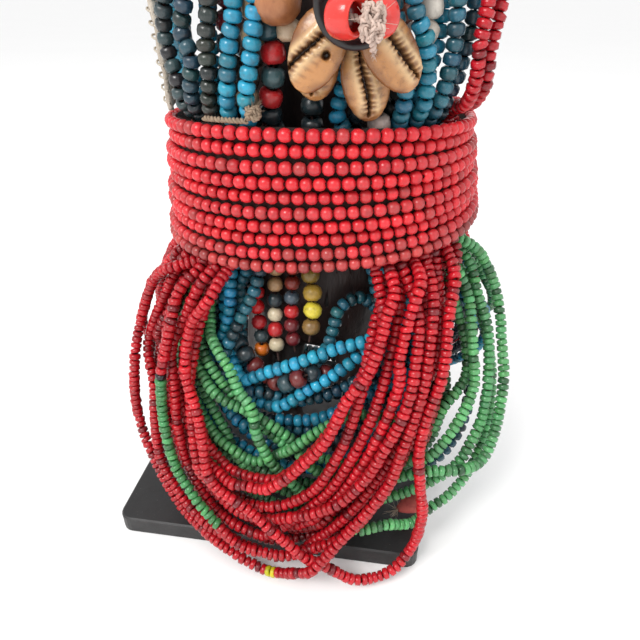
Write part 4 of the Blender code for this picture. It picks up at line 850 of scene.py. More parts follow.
class Finish:
    """A procedural material, with short ways to add nodes and links to it."""

    def __init__(self, name):
        self.made = bpy.data.materials.new(name)
        self.made.use_nodes = True
        self.tree = self.made.node_tree
        self.shader = self.tree.nodes["Principled BSDF"]

    def add(self, kind, inputs=None, **values):
        node = self.tree.nodes.new(kind)
        for key, value in values.items():
            setattr(node, key, value)
        for key, value in (inputs or {}).items():
            self.feed(node.inputs[key], value)
        return node

    def feed(self, socket, value):
        if hasattr(value, "is_linked"):
            self.tree.links.new(value, socket)
        else:
            socket.default_value = value

    def tint(self):
        """The tint that each point of a mesh carries."""
        return self.add("ShaderNodeAttribute", attribute_name="tint").outputs["Color"]

    def noise(self, scale, detail=3.0, rough=0.55, stretch=(1, 1, 1)):
        at = self.add("ShaderNodeTexCoord").outputs["Object"]
        spot = self.add("ShaderNodeMapping", {"Vector": at, "Scale": stretch}).outputs[0]
        values = {"Vector": spot, "Scale": scale, "Detail": detail, "Roughness": rough}
        return self.add("ShaderNodeTexNoise", values).outputs["Fac"]

    def ramp(self, value, low, high, at_low=0.0, at_high=1.0):
        values = {0: value, 1: low, 2: high, 3: at_low, 4: at_high}
        return self.add("ShaderNodeMapRange", values, clamp=True).outputs[0]

    def mix(self, share, first, second):
        node = self.add("ShaderNodeMix", data_type="RGBA")
        self.feed(node.inputs[0], share)
        for socket, value in ((node.inputs[6], first), (node.inputs[7], second)):
            self.feed(socket, value if hasattr(value, "is_linked") else (*value, 1.0))
        return node.outputs[2]

    def wash(self, tone, noise, low, high, colour, most=1.0):
        """A tone with a colour over it where a noise is high, at most by this share."""
        return self.mix(self.ramp(noise, low, high, 0.0, most), tone, colour)

    def math(self, operation, first, second):
        return self.add("ShaderNodeMath", {0: first, 1: second}, operation=operation).outputs[0]

    def done(self, tone, rough, relief=None):
        """The material with this tone, roughness by a ramp, and relief as (height, distance, strength)."""
        self.feed(self.shader.inputs["Base Color"], tone)
        self.feed(self.shader.inputs["Roughness"], self.ramp(*rough))
        if relief:
            bump = self.add("ShaderNodeBump", dict(zip(("Height", "Distance", "Strength"), relief)))
            self.feed(self.shader.inputs["Normal"], bump.outputs[0])
        return self.made


def bead_finish(name, dirt, gloss, dull):
    """Glass beads: each has its own tint, with grime and worn, duller spots."""
    made = Finish(name)
    grime = made.noise(420, 4.0, 0.6)
    tone = made.wash(made.tint(), grime, 0.50, 0.78, GRIME, dirt)
    tone = made.wash(tone, made.noise(2300, 2.0, 0.6), 0.70, 0.78, CHIPPED, 0.35)
    return made.done(tone, (grime, 0.35, 0.75, gloss, dull), (made.noise(1500, 3.0), 0.00006, 0.5))


def thread_finish():
    made = Finish("thread")
    fibres = made.noise(900, 4.0, 0.6, (1, 1, 0.4))
    tone = made.wash(made.tint(), fibres, 0.45, 0.75, FIBRE_SHADE, 0.6)
    return made.done(tone, (fibres, 0.3, 0.7, 0.75, 0.95), (fibres, 0.0002, 0.7))


def wood_finish():
    """Dark carved wood, with upright grain and fine cracks."""
    made = Finish("dark_wood")
    grain = made.noise(260, 5.0, 0.62, (1, 1, 0.10))
    tone = made.wash(srgb(32, 23, 21), grain, 0.32, 0.70, srgb(66, 44, 40))
    tone = made.wash(tone, made.noise(38, 3.0, 0.5), 0.4, 0.7, srgb(50, 30, 27), 0.45)
    split = made.ramp(made.noise(520, 2.0, 0.5, (1, 1, 0.05)), 0.66, 0.74, 0.0, 0.8)
    tone = made.mix(split, tone, srgb(14, 9, 9))
    height = made.math("SUBTRACT", grain, made.math("MULTIPLY", split, 1.2))
    return made.done(tone, (grain, 0.3, 0.7, 0.62, 0.42), (height, 0.0007, 0.8))


def lacquer_finish():
    """The base plate's satin black, with pale specks of dust."""
    made = Finish("black_lacquer")
    tone = made.wash(srgb(27, 26, 27), made.noise(30, 4.0, 0.6), 0.35, 0.7, srgb(37, 36, 37))
    tone = made.wash(tone, made.noise(1500, 2.0, 0.5), 0.70, 0.76, srgb(128, 122, 118), 0.55)
    scuffs = made.noise(210, 5.0, 0.7)
    return made.done(tone, (scuffs, 0.35, 0.7, 0.36, 0.56), (made.noise(1100, 3.0), 0.00008, 0.5))


def disc_finish():
    made = Finish("black_disc")
    worn = made.noise(420, 4.0, 0.65)
    tone = made.wash(srgb(20, 19, 21), worn, 0.4, 0.75, srgb(46, 42, 42))
    return made.done(tone, (worn, 0.3, 0.75, 0.24, 0.52), (worn, 0.0001, 0.6))


def nut_finish():
    made = Finish("brown_nut")
    streaks = made.noise(160, 5.0, 0.6, (1, 1, 0.4))
    tone = made.wash(srgb(196, 132, 84), streaks, 0.35, 0.68, srgb(140, 82, 50))
    tone = made.wash(tone, made.noise(700, 4.0), 0.6, 0.8, srgb(88, 52, 34), 0.6)
    return made.done(tone, (streaks, 0.3, 0.7, 0.28, 0.48), (streaks, 0.0003, 0.6))


def shell_finish():
    made = Finish("cowrie_shell")
    stains = made.noise(330, 5.0, 0.65)
    fine = made.noise(1300, 3.0, 0.6)
    tone = made.wash(made.tint(), stains, 0.48, 0.74, srgb(112, 66, 38), 0.75)
    tone = made.wash(tone, fine, 0.62, 0.78, srgb(84, 50, 32), 0.5)
    return made.done(tone, (stains, 0.3, 0.7, 0.16, 0.36), (fine, 0.0001, 0.35))


def cone_finish():
    made = Finish("dull_red")
    cloudy = made.noise(420, 5.0, 0.65)
    tone = made.wash(srgb(164, 58, 54), cloudy, 0.35, 0.7, srgb(196, 92, 82))
    return made.done(tone, (cloudy, 0.3, 0.7, 0.6, 0.85), (cloudy, 0.0004, 0.7))


def hide_finish():
    made = Finish("pale_hide")
    blotches = made.noise(120, 5.0, 0.6)
    hairs = made.noise(900, 3.0, 0.6, (1, 1, 0.25))
    tone = made.wash(srgb(178, 166, 150), blotches, 0.35, 0.7, srgb(214, 204, 190))
    tone = made.wash(tone, hairs, 0.6, 0.8, srgb(120, 96, 76), 0.6)
    return made.done(tone, (blotches, 0.3, 0.7, 0.8, 0.95), (hairs, 0.0004, 0.7))


def floor_finish():
    made = Finish("floor")
    shade = made.noise(3, 2.0)
    tone = made.wash(FLOOR_TONES[0], shade, 0.3, 0.7, FLOOR_TONES[1])
    return made.done(tone, (shade, 0.3, 0.7, 0.85, 0.95))


def unit(ways):
    """The same directions, each of length one."""
    return ways / np.maximum(np.linalg.norm(ways, axis=-1, keepdims=True), 1e-12)


def grid_faces(rows, columns, closed=True):
    """Four-sided faces over a grid of points, and back to its first column where it is closed."""
    i, k = np.meshgrid(np.arange(rows - 1), np.arange(columns if closed else columns - 1), indexing="ij")
    m = (k + 1) % columns
    corners = (i * columns + k, i * columns + m, (i + 1) * columns + m, (i + 1) * columns + k)
    return np.stack(corners, -1).reshape(-1, 4)


def template(profile, sides):
    """A turned bead along +X from (along, out) pairs, as points and four-sided faces."""
    turns = 2 * np.pi * np.arange(sides) / sides
    points = [(along, out * math.cos(turn), out * math.sin(turn)) for along, out in profile for turn in turns]
    return np.array(points), grid_faces(len(profile), sides)[:, [0, 3, 2, 1]]


def strung(points, pitch, radius, profile, sides, tint_of, rng, uneven=0.10, whole=False, tilt=0.07):
    """Beads threaded along a line, as (points, faces, tints). whole fits a whole number of beads to it."""
    length = distances(points)[-1]
    if whole:
        lengths = 1 + uneven * (2 * rng.random(round(length / pitch)) - 1)
        lengths *= length / lengths.sum()
    else:
        lengths = pitch * (1 + uneven * (2 * rng.random(int(length / pitch * 1.3) + 4) - 1))
        lengths = lengths[:int(np.searchsorted(np.cumsum(lengths), length))]
    count = len(lengths)
    runs = np.cumsum(lengths) - lengths / 2
    along = unit(sampled(points, runs + LOOK_AHEAD) - sampled(points, runs - LOOK_AHEAD))
    along = unit(along + rng.normal(0, tilt, along.shape))
    side = unit(np.cross(along, rng.normal(0, 1, along.shape)))
    over = np.cross(along, side)
    spots = sampled(points, runs) + side * rng.normal(0, BEAD_STRAY, (count, 1)) * radius
    grown = (radius * (1 + uneven * BEAD_SWELL * rng.uniform(-1, 1, count)))[:, None]
    axes = np.stack([along * (lengths / 2 * BEAD_FILL)[:, None], side * grown, over * grown], 1)
    base, quads = template(profile, sides)
    placed = (spots[:, None] + base @ axes).reshape(-1, 3)
    faces = (quads[None] + (np.arange(count) * len(base))[:, None, None]).reshape(-1, 4)
    # Painted shade: the first and last ring of each bead, round its hole, are darkened by this share
    shade = np.ones(len(base))
    shade[:sides] = shade[-sides:] = BEAD_END_SHADE
    tints = (tint_of(spots, np.arange(count), rng)[:, None, :] * shade[None, :, None]).reshape(-1, 3)
    return placed, faces, tints


def rope(points, radius, sides, tint):
    """A plain round thread along a line, as (points, faces, tints)."""
    points = np.asarray(points)
    along = unit(np.gradient(points, axis=0))
    side = np.zeros_like(points)
    first = np.cross(along[0], ROPE_SLANT)
    for i, way in enumerate(along):
        first = unit(first - way * (first @ way))
        side[i] = first
    over = np.cross(along, side)
    size = np.broadcast_to(radius, (len(points),))
    turns = 2 * np.pi * np.arange(sides) / sides
    around = side[:, None] * np.cos(turns)[None, :, None] + over[:, None] * np.sin(turns)[None, :, None]
    placed = (points[:, None] + around * size[:, None, None]).reshape(-1, 3)
    return placed, grid_faces(len(points), sides), np.broadcast_to(tint, placed.shape)


def turned(spot, axis, profile, sides, tint):
    """A turned piece from (along, out) pairs in metres, with a closed profile where it ends as it starts."""
    axis = unit(np.array(axis))
    side = unit(np.cross(axis, TURNED_SLANT))
    base, quads = template(profile, sides)
    placed = np.array(spot) + base @ np.array((axis, side, np.cross(axis, side)))
    return placed, quads, np.broadcast_to(np.array(tint, float), placed.shape)


def scaled(profile, half, radius, least=0.0):
    """A profile given in shares of half a length and of a radius, with an opening at its ends."""
    return [(half * along, max(radius * out, least)) for along, out in profile]


def twisted(points, radius, tint):
    """A twisted twine along a line, as one chunk for each ply."""
    points = np.asarray(points)
    length = distances(points)[-1]
    marks = np.linspace(0, length, max(8, int(length / TWINE_STEP)))
    centre = sampled(points, marks)
    along = unit(np.gradient(centre, axis=0))
    side = unit(np.cross(along, PLY_SLANT))
    over = np.cross(along, side)
    chunks = []
    for ply in range(PLIES):
        phase = 2 * np.pi * (marks * TURNS_PER_METRE + ply / PLIES)[:, None]
        offset = side * np.cos(phase) + over * np.sin(phase)
        chunks.append(rope(centre + offset * radius * PLY_OUT, radius * PLY_SIZE, 6, tint))
    return chunks


def frays(spot, way, count, length, tint, rng, spread_by=0.6):
    """Loose fibres that stand out from a cut end of twine."""
    chunks = []
    shares = np.linspace(0, 1, 7)[:, None]
    for _ in range(count):
        aim = unit(np.array(way) + rng.normal(0, spread_by, 3))
        bend = rng.normal(0, 0.5, 3)
        line = np.array(spot) + length * rng.uniform(0.5, 1.0) * (aim * shares + bend * shares ** 2 * 0.5)
        chunks.append(rope(line, np.linspace(*FIBRE_SIZES, 7), 3, tint))
    return chunks


def knot(spot, axes, size, radius, tint, turns=3):
    """A round knot of twine: a line that winds round and through itself."""
    t = np.linspace(0, 2 * np.pi, 160)
    ring = 1 + 0.42 * np.cos(turns * t)
    local = np.stack([ring * np.cos(2 * t), ring * np.sin(2 * t), 0.62 * np.sin(turns * t)], 1)
    local = local / abs(local).max(0) * (np.array(size) / 2 - radius)
    return twisted(np.array(spot) + local @ np.array(axes), radius, tint)


def piece(name, chunks, finish, nodes=(), slot=None):
    """One object of the doll from chunks of (points, faces, tints), in place of CAD nodes."""
    points, faces, tints = zip(*chunks)
    starts = np.cumsum([0] + [len(part) for part in points])
    faces = np.vstack([part + start for part, start in zip(faces, starts)])
    points, tints = np.vstack(points), np.vstack(tints)
    mesh = bpy.data.meshes.new(name)
    mesh.vertices.add(len(points))
    mesh.vertices.foreach_set("co", points.astype(np.float32).ravel())
    mesh.loops.add(faces.size)
    mesh.loops.foreach_set("vertex_index", faces.astype(np.int32).ravel())
    mesh.polygons.add(len(faces))
    mesh.polygons.foreach_set("loop_start", np.arange(0, faces.size, faces.shape[1], dtype=np.int32))
    mesh.update(calc_edges=True)
    mesh.polygons.foreach_set("use_smooth", np.ones(len(faces), bool))
    stored = mesh.color_attributes.new("tint", "FLOAT_COLOR", "POINT")
    stored.data.foreach_set("color", np.hstack([tints, np.ones((len(tints), 1))]).astype(np.float32).ravel())
    mesh.materials.append(finish)
    wear(bpy.data.objects.new(name, mesh), nodes)


def wear(made, nodes):
    """Link an object of the doll under the root body, and hide the CAD nodes that it stands for."""
    bpy.context.scene.collection.objects.link(made)
    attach(made, "root")
    if nodes:
        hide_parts(*nodes)


def spread(base, light=0.14, hue=0.05, dull=None, dull_share=0.0):
    """A maker of bead colours round a base colour, with some beads dull."""
    def tint_of(spots, numbers, rng):
        count = len(spots)
        bright = 1 + light * rng.normal(0, 1, (count, 1))
        tints = np.clip(np.array(base) * bright * (1 + hue * rng.normal(0, 1, (count, 3))), 0.001, 1)
        if dull is not None:
            worn = rng.random(count) < dull_share
            share = rng.uniform(0.4, 1.0, (count, 1))
            tints[worn] = (tints * (1 - share) + np.array(dull) * share)[worn]
        return tints
    return tint_of


def listed(colours):
    """A maker of bead colours from a list, repeated."""
    def tint_of(spots, numbers, rng):
        chosen = np.array([srgb(*colours[int(n) % len(colours)]) for n in numbers])
        return chosen * (1 + 0.06 * rng.normal(0, 1, (len(chosen), 1)))
    return tint_of


def angle_height(spots):
    """Where points are on the doll, as angle from the front and height above the plate."""
    east, north = spots[:, 0] - DOLL_X, spots[:, 1]
    return np.degrees(np.arctan2(east, -north)), (spots[:, 2] - PLATE_THICKNESS) / UNIT


def patched(base, *patches):
    """Bead colours with stretches of others: (first angle, last angle, lowest, highest, colours)."""
    def tint_of(spots, numbers, rng):
        tints = base(spots, numbers, rng)
        angles, levels = angle_height(spots)
        for left, right, low, high, other in patches:
            inside = (angles > left) & (angles < right) & (levels > low) & (levels < high)
            tints[inside] = other(spots, numbers, rng)[inside]
        return tints
    return tint_of


def nearest(places, spare):
    """Bead colours taken from the nearest of (height, colour) places, and from spare far from them."""
    heights = np.array([height for height, _ in places])
    colours = np.array([srgb(*colour) for _, colour in places])

    def tint_of(spots, numbers, rng):
        _, levels = angle_height(spots)
        away = abs(levels[:, None] - heights[None, :])
        tints = colours[away.argmin(1)]
        others = spare(spots, numbers, rng)
        return np.where((away.min(1) < NEAR_PLACE)[:, None], tints, others)
    return tint_of


def redrawn(routes, changes):
    """The routes, with other end angles and first points where a change is given."""
    drawn = list(routes)
    for number, (first, last, points) in changes.items():
        drawn[number] = (first, last, [*carried(points), *carried(routes[number][2])[len(points):]])
    return drawn


def all_strands():
    """The lines of the strands that the solids have, settled alike, and of those beneath and behind them."""
    outer = ((redrawn(RED_ROUTES, RED_CHANGES), RED_RING, SEED_BEAD, 0, True),
             (SIDE_RED_ROUTES, RED_RING, SEED_BEAD, 0, False),
             (redrawn(GREEN_ROUTES, GREEN_CHANGES), GREEN_RING, SEED_BEAD, 1, True),
             (redrawn(BLUE_ROUTES, BLUE_CHANGES), BLUE_RING, BLUE_BEAD, 2, True),
             (redrawn(NECKLACE_ROUTES, NECKLACE_CHANGES), BLUE_RING, BLUE_BEAD, 2, False),
             (MIXED_ROUTES, MIXED_RING, MIXED_BEAD, 3, False))
    plan = [(routed(route, ring, hangs), bead / 2, group)
            for routes, ring, bead, group, hangs in outer for route in routes]
    plan += [(dropped(route, MIXED_RING), MIXED_BEAD / 2, 3) for route in DROP_ROUTES]
    strands, radii, groups = zip(*plan)
    rings = [(np.array(ring_line(ring, 140)), ring[2] + RING_ROOM, group) for group, ring in enumerate(RINGS)]
    settled = settle(strands, radii, groups, rings)
    kept = [(line, radius, 0) for line, radius in zip(settled, radii)]
    kept += [(line, radius, 0) for line, radius, _ in rings]
    beneath = ((INNER_RED_ROUTES, RED_RING, SEED_BEAD), (INNER_GREEN_ROUTES, GREEN_RING, SEED_BEAD),
               (INNER_BLUE_ROUTES, BLUE_RING, BLUE_BEAD))
    inner = [(routed(route, ring), bead / 2) for routes, ring, bead in beneath for route in routes]
    inner += [(drawn(route), BLUE_BEAD / 2) for route in NECKLACES_ADDED]
    inner += [(drawn(route), MIXED_BEAD / 2) for route in MIXED_ADDED]
    inner += [(routed(route, BLUE_RING), BLUE_BEAD / 2) for route in BACK_ROUTES]
    lines, sizes = zip(*inner)
    return settled, settle(lines, sizes, [1] * len(lines), kept, rounds=40)


def dealt(lines, *tables):
    """The lines in groups, one for each of the tables that they come from."""
    marks = np.cumsum([0] + [len(table) for table in tables])
    return [lines[a:b] for a, b in zip(marks, marks[1:])]


def dress():
    """Every strand of beads, with its thread."""
    rng = np.random.default_rng(11)
    settled, inner = all_strands()
    reds, sides, greens, blues, chains, mixes, drops = dealt(
        settled, RED_ROUTES, SIDE_RED_ROUTES, GREEN_ROUTES, BLUE_ROUTES, NECKLACE_ROUTES, MIXED_ROUTES,
        DROP_ROUTES)
    inner_reds, inner_greens, inner_blues, inner_chains, inner_mixed, backs = dealt(
        inner, INNER_RED_ROUTES, INNER_GREEN_ROUTES, INNER_BLUE_ROUTES, NECKLACES_ADDED, MIXED_ADDED,
        BACK_ROUTES)
    red_and_green(rng, reds, sides, inner_reds, greens, inner_greens)
    blue(rng, blues, inner_blues + backs, chains, inner_chains)

    beads = [strung(line, MIXED_PITCH, MIXED_BEAD / 2, DRUM_PROFILE, ROUND_SIDES,
                    nearest(places, listed(MEDLEY)), rng, 0.05)
             for line, places in zip(mixes + inner_mixed, (CHAIN_COLOURS, *ADDED_COLOURS))]
    beads += [strung(line, size * DROP_PITCH, size / 2, ROUND_PROFILE, ROUND_SIDES,
                     nearest(places, listed(MEDLEY)), rng, 0.06, tilt=0.14)
              for line, places, size in zip(drops, DROP_COLOURS, DROP_SIZES)]
    piece("mixed_strands", beads, bead_finish("mixed_glass", 0.55, 0.20, 0.50), ("mixed_bead_strands",),
          "mixed_glass")
    angle, height, layer = NUT_AT
    whole_nut = turned(place(angle, height + NUT_LIFT, layer), (0.0, 0.0, 1.0),
                       scaled(NUT_PROFILE, NUT_RADIUS, NUT_RADIUS), 32, (0.4, 0.2, 0.1))
    piece("brown_nut_bead", [whole_nut], nut_finish(), ("mixed_bead_strands",), "mixed_glass")

    threads = [rope(line[::2], THREAD, 4, srgb(60, 30, 26)) for line in settled + inner]
    threads += [rope(ring_line(ring, 121), ring[2] * 0.8, 6, srgb(60, 44, 34)) for ring in RINGS]
    piece("strand_threads", threads, thread_finish(), ("red_bead_strands",))


def red_and_green(rng, reds, sides, inner_reds, greens, inner_greens):
    """The strands of small seed beads."""
    def seeds(line, tint, uneven=0.10, tilt=0.07):
        return strung(line, SEED_PITCH, SEED_BEAD / 2, SEED_PROFILE, SEED_SIDES, tint, rng, uneven, tilt=tilt)

    beads = []
    for number, line in enumerate(reds + sides + inner_reds):
        # Painted shade: the inner red strands, under the outer ones, get 0.55 of the outer ones' brightness
        deep = 1.0 if number < len(reds + sides) else 0.55
        tint = spread(RED * (0.84 + 0.28 * rng.random()) * deep, 0.10, 0.04, RED_DULL * deep, 0.10)
        if number == GREEN_PART_OF:
            tint = patched(tint, (-60, -22, 8, 65, spread(srgb(74, 150, 88), 0.16, 0.04, GREEN_DULL, 0.18)),
                           (-60, -30, 65, 67.5, spread(srgb(20, 18, 20))))
        if number == YELLOW_BEAD_OF:
            tint = patched(tint, (-7.2, -5.2, -6, 2, spread(srgb(226, 214, 30))))
        beads.append(seeds(line, tint, 0.15, 0.12))
    red_glass = bead_finish("red_seed_glass", 0.55, 0.16, 0.48)
    half, outer = len(reds) // 2, len(reds)
    for name, part in (("front", beads[:half]), ("middle", beads[half:outer]), ("side", beads[outer:])):
        piece(f"red_strands_{name}", part, red_glass, ("red_bead_strands",), "red_seed_glass")

    beads = [seeds(line, spread(GREEN * (0.8 + 0.3 * rng.random()), 0.14, 0.05, GREEN_DULL, 0.16))
             for line in greens]
    # Painted shade: the inner green strands, under the outer ones, are half as bright, and they are dull more
    # often
    beads += [seeds(line, spread(GREEN * 0.5, 0.2, 0.05, GREEN_DULL, 0.4)) for line in inner_greens]
    piece("green_strands", beads, bead_finish("green_glass", 0.65, 0.20, 0.55), ("green_bead_strands",),
          "green_glass")


def blue(rng, blues, beneath, chains, inner_chains):
    """The blue loops of the skirt, and the necklaces, which are lighter on the doll's left."""
    outer = [spread(*look) for look in (
        (MID_BLUE, 0.16, 0.06, DARK_TEAL, 0.15), (TEAL * 1.3, 0.20, 0.08, DARK_TEAL, 0.30),
        (BRIGHT_BLUE, 0.10, 0.04, MID_BLUE, 0.2), (BRIGHT_BLUE * 0.85, 0.12, 0.05, TEAL, 0.2),
        (TEAL * 1.4, 0.16, 0.06, DARK_TEAL, 0.2), (TEAL, 0.2, 0.06, DARK_TEAL, 0.3),
        (MID_BLUE, 0.16, 0.06, DARK_TEAL, 0.2))]
    # Painted shade: the blue strands beneath the outer loops and at the back get mostly darker teals and
    # blues
    beneath_shaded = [spread(*look) for look in (
        (TEAL, 0.2, 0.08, DARK_TEAL, 0.35), (MID_BLUE * 0.8, 0.2, 0.06, DARK_TEAL, 0.25),
        (DARK_TEAL * 1.3, 0.25, 0.08, TEAL, 0.2), (MID_BLUE, 0.16, 0.06, TEAL, 0.2),
        (DARK_TEAL, 0.25, 0.08, srgb(90, 30, 34), 0.15))]
    west, east = ([spread(srgb(*usual), light, hue, srgb(*worn), share)
                   for usual, light, hue, worn, share in side] for side in NECKLACE_COLOURS)
    strands = list(zip(blues, outer))
    strands += [(line, beneath_shaded[number % len(beneath_shaded)]) for number, line in enumerate(beneath)]
    loops = len(strands)
    strands += [(line, patched(left, (0, 180, 0, 400, right)))
                for line, left, right in zip(chains, west, east)]
    strands += [(line, spread(srgb(44, 148, 180), 0.12, 0.05, srgb(48, 110, 130), 0.15))
                for line in inner_chains]
    beads = [strung(line, BLUE_PITCH, BLUE_BEAD / 2, DRUM_PROFILE,
                    LOOP_SIDES if number < loops else CHEST_SIDES, tint, rng, 0.08)
             for number, (line, tint) in enumerate(strands)]
    glass = bead_finish("blue_glass", 0.6, 0.16, 0.50)
    piece("blue_strands_skirt", beads[:loops], glass, ("blue_bead_strands",), "blue_glass")
    piece("blue_strands_chest", beads[loops:], glass, ("blue_bead_strands",), "blue_glass")


def row_line(row, steps=181):
    """The closed line of one row of the belt."""
    return np.array([out_from(angle, *belt_row(row, angle)) for angle in np.linspace(0, 360, steps)])


def waist():
    """The belt: rows of round beads on threads, with a dark band of cloth behind them."""
    rng = np.random.default_rng(23)
    lowest = spread(srgb(196, 66, 66), 0.10, 0.04, srgb(150, 60, 58), 0.35)
    usual = spread(BELT_RED, 0.08, 0.03, srgb(186, 58, 60), 0.14)
    dusty = spread(srgb(212, 48, 56), 0.09, 0.03, srgb(176, 62, 62), 0.22)
    rows = []
    for row in range(BELT_ROWS):
        tint = lowest if row == 0 else dusty if row in DUSTY_ROWS else usual
        line = np.roll(row_line(row)[:-1], BELT_START + 3 * row, axis=0)
        line = np.vstack([line, line[:1]])
        rows.append(strung(line, BELT_PITCH, BELT_BEAD / 2, ROUND_PROFILE, 10, tint, rng, 0.06, whole=True))
    piece("belt_beads", rows, bead_finish("belt_glass", 0.42, 0.22, 0.55), ("waist_belt",), "belt_glass")
    chunks = [rope(row_line(row), THREAD, 4, srgb(90, 30, 30)) for row in range(BELT_ROWS)]
    cloth = []
    for row in np.linspace(-0.3, BELT_ROWS - 0.7, CLOTH_ROWS):
        below = min(max(int(row), 0), BELT_ROWS - 2)
        for angle in np.linspace(0, 360, CLOTH_COLUMNS):
            (low, low_far), (high, high_far) = belt_row(below, angle), belt_row(below + 1, angle)
            height = low + (high - low) * (row - below)
            cloth.append(out_from(angle, height, min(low_far, high_far) - CLOTH_IN))
    cloth = np.array(cloth)
    faces = grid_faces(CLOTH_ROWS, CLOTH_COLUMNS, False)
    chunks.append((cloth, faces, np.full(cloth.shape, srgb(52, 24, 22))))
    piece("belt_backing", chunks, thread_finish(), ("waist_belt",))


def rounded_figure():
    """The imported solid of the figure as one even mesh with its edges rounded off."""
    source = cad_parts["carved_figure"]
    mesh = bpy.data.meshes.new_from_object(source)
    mesh.materials.clear()
    work = bmesh.new()
    work.from_mesh(mesh)
    bmesh.ops.remove_doubles(work, verts=work.verts, dist=FIGURE_WELD)
    work.to_mesh(mesh)
    work.free()
    rough = bpy.data.objects.new("figure_rough", mesh)
    rough.matrix_world = source.matrix_world
    bpy.context.scene.collection.objects.link(rough)
    voxels = rough.modifiers.new("Even", "REMESH")
    voxels.mode = "VOXEL"
    voxels.voxel_size = FIGURE_VOXEL
    soft = rough.modifiers.new("Rounded", "SMOOTH")
    soft.factor = 0.5
    soft.iterations = 9
    carved = bpy.data.meshes.new_from_object(rough.evaluated_get(bpy.context.evaluated_depsgraph_get()))
    bpy.data.objects.remove(rough)
    carved.name = "figure_wood"
    return carved


def groove(across, width, depth, along, reach_along):
    """A cut by how far points are across and along it, in doll millimetres, with soft ends."""
    return -depth * np.exp(-(across / width) ** 2) * np.clip((reach_along - abs(along)) / 3, 0, 1)


def figure():
    """The carved figure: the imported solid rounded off, then cut with grooves and knife marks."""
    carved = rounded_figure()
    points, normals = np.empty((2, len(carved.vertices) * 3))
    carved.vertices.foreach_get("co", points)
    carved.vertex_normals.foreach_get("vector", normals)
    points, normals = points.reshape(-1, 3), normals.reshape(-1, 3)
    x, y, z = (points[:, 0] - DOLL_X) / UNIT, points[:, 1] / UNIT, (points[:, 2] - PLATE_THICKNESS) / UNIT
    marks = KNIFE_DEPTH * np.sin(0.55 * x + 1.3 * np.sin(0.11 * z)) * np.sin(0.13 * z + 0.6 * np.sin(0.4 * y))
    front = np.clip(-normals[:, 1], 0, 1)
    toes = (z < TOES_BELOW) & (y < -20)
    for side in (-1, 1):
        eye = x - side * EYE_ASIDE
        marks += front * groove(z - EYE_HEIGHT + 0.02 * eye ** 2, 0.9, 1.0, eye, 5.5)
        for height in CHEEK_CUTS:
            marks += front * groove(z - height, 0.8, 0.7, x - side * CHEEK_ASIDE, 7) * (z < EYE_HEIGHT - 1)
        for toe in TOE_GAPS:
            marks += toes * groove(x - side * FOOT_ASIDE - toe, 0.7, 0.9, y + 24, 6)
    marks += front * groove(z - MOUTH_HEIGHT, 0.9, 1.1, x, 8)
    hair = np.clip((z - HAIR_FROM) / 6, 0, 1) * (abs(x) > 5)
    marks += HAIR_DEPTH * hair * np.sin(HAIR_LOCKS * np.arctan2(x, y))
    points += normals * (marks * UNIT)[:, None]
    points[:, 2] = np.maximum(points[:, 2], PLATE_THICKNESS + FOOT_LIFT)
    carved.vertices.foreach_set("co", points.astype(np.float32).ravel())
    carved.polygons.foreach_set("use_smooth", np.ones(len(carved.polygons), bool))
    carved.materials.clear()
    carved.materials.append(wood_finish())
    carved.update()
    wear(bpy.data.objects.new("figure_wood", carved), ("carved_figure",))


def plate():
    made = lacquer_finish()
    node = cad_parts["base_plate"]
    for at in range(len(node.data.materials)):
        node.data.materials[at] = made


def pendant():
    """The black disc, the two ring beads and the knot that ties them."""
    spot, right, _, out = by_disc(0, 0, 0)
    profile = scaled(DISC_PROFILE, DISC_THICKNESS / 2, DISC_DIAMETER / 2, 0.0004)
    disc = turned(spot, out, profile, 72, (0.01, 0.01, 0.01))
    piece("black_disc", [disc], disc_finish(), ("pendant_disc",), "black_disc")
    glass = bead_finish("orange_red_glass", 0.30, 0.10, 0.30)
    thick, middle = (BARREL_DIAMETER - BARREL_HOLE) / 4, (BARREL_DIAMETER + BARREL_HOLE) / 4
    turns = np.linspace(0, 2 * np.pi, 33)
    profile = [(BARREL_LENGTH / 2 * math.cos(turn), middle + thick * math.sin(turn)) for turn in turns]
    # Painted shade in the ring beads' holes: the colour runs to a deeper orange into the hole, and deepest
    # inside to dark red
    depth = np.repeat([(middle + thick - far) / (2 * thick) for _, far in profile], BARREL_SIDES)[:, None]
    tints = srgb(226, 62, 56) * (1 - depth) + srgb(250, 52, 30) * depth
    tints = np.where(depth > BARREL_SHADED_FROM, srgb(150, 16, 12), tints)
    for name, side in (("left", -1), ("right", 1)):
        spot, axis = barrel_frame(side)
        lean = math.radians(BARREL_LEANS[side])
        axis = axis * math.cos(lean) - out * side * math.sin(lean)
        inwards, back = BARREL_SHIFTS[side]
        points, faces, _ = turned(spot - right * inwards - out * back, axis, profile, BARREL_SIDES, (1, 1, 1))
        piece(f"ring_bead_{name}", [(points, faces, tints)], glass, (f"pendant_bead_{name}",),
              "orange_red_glass")
    tie()


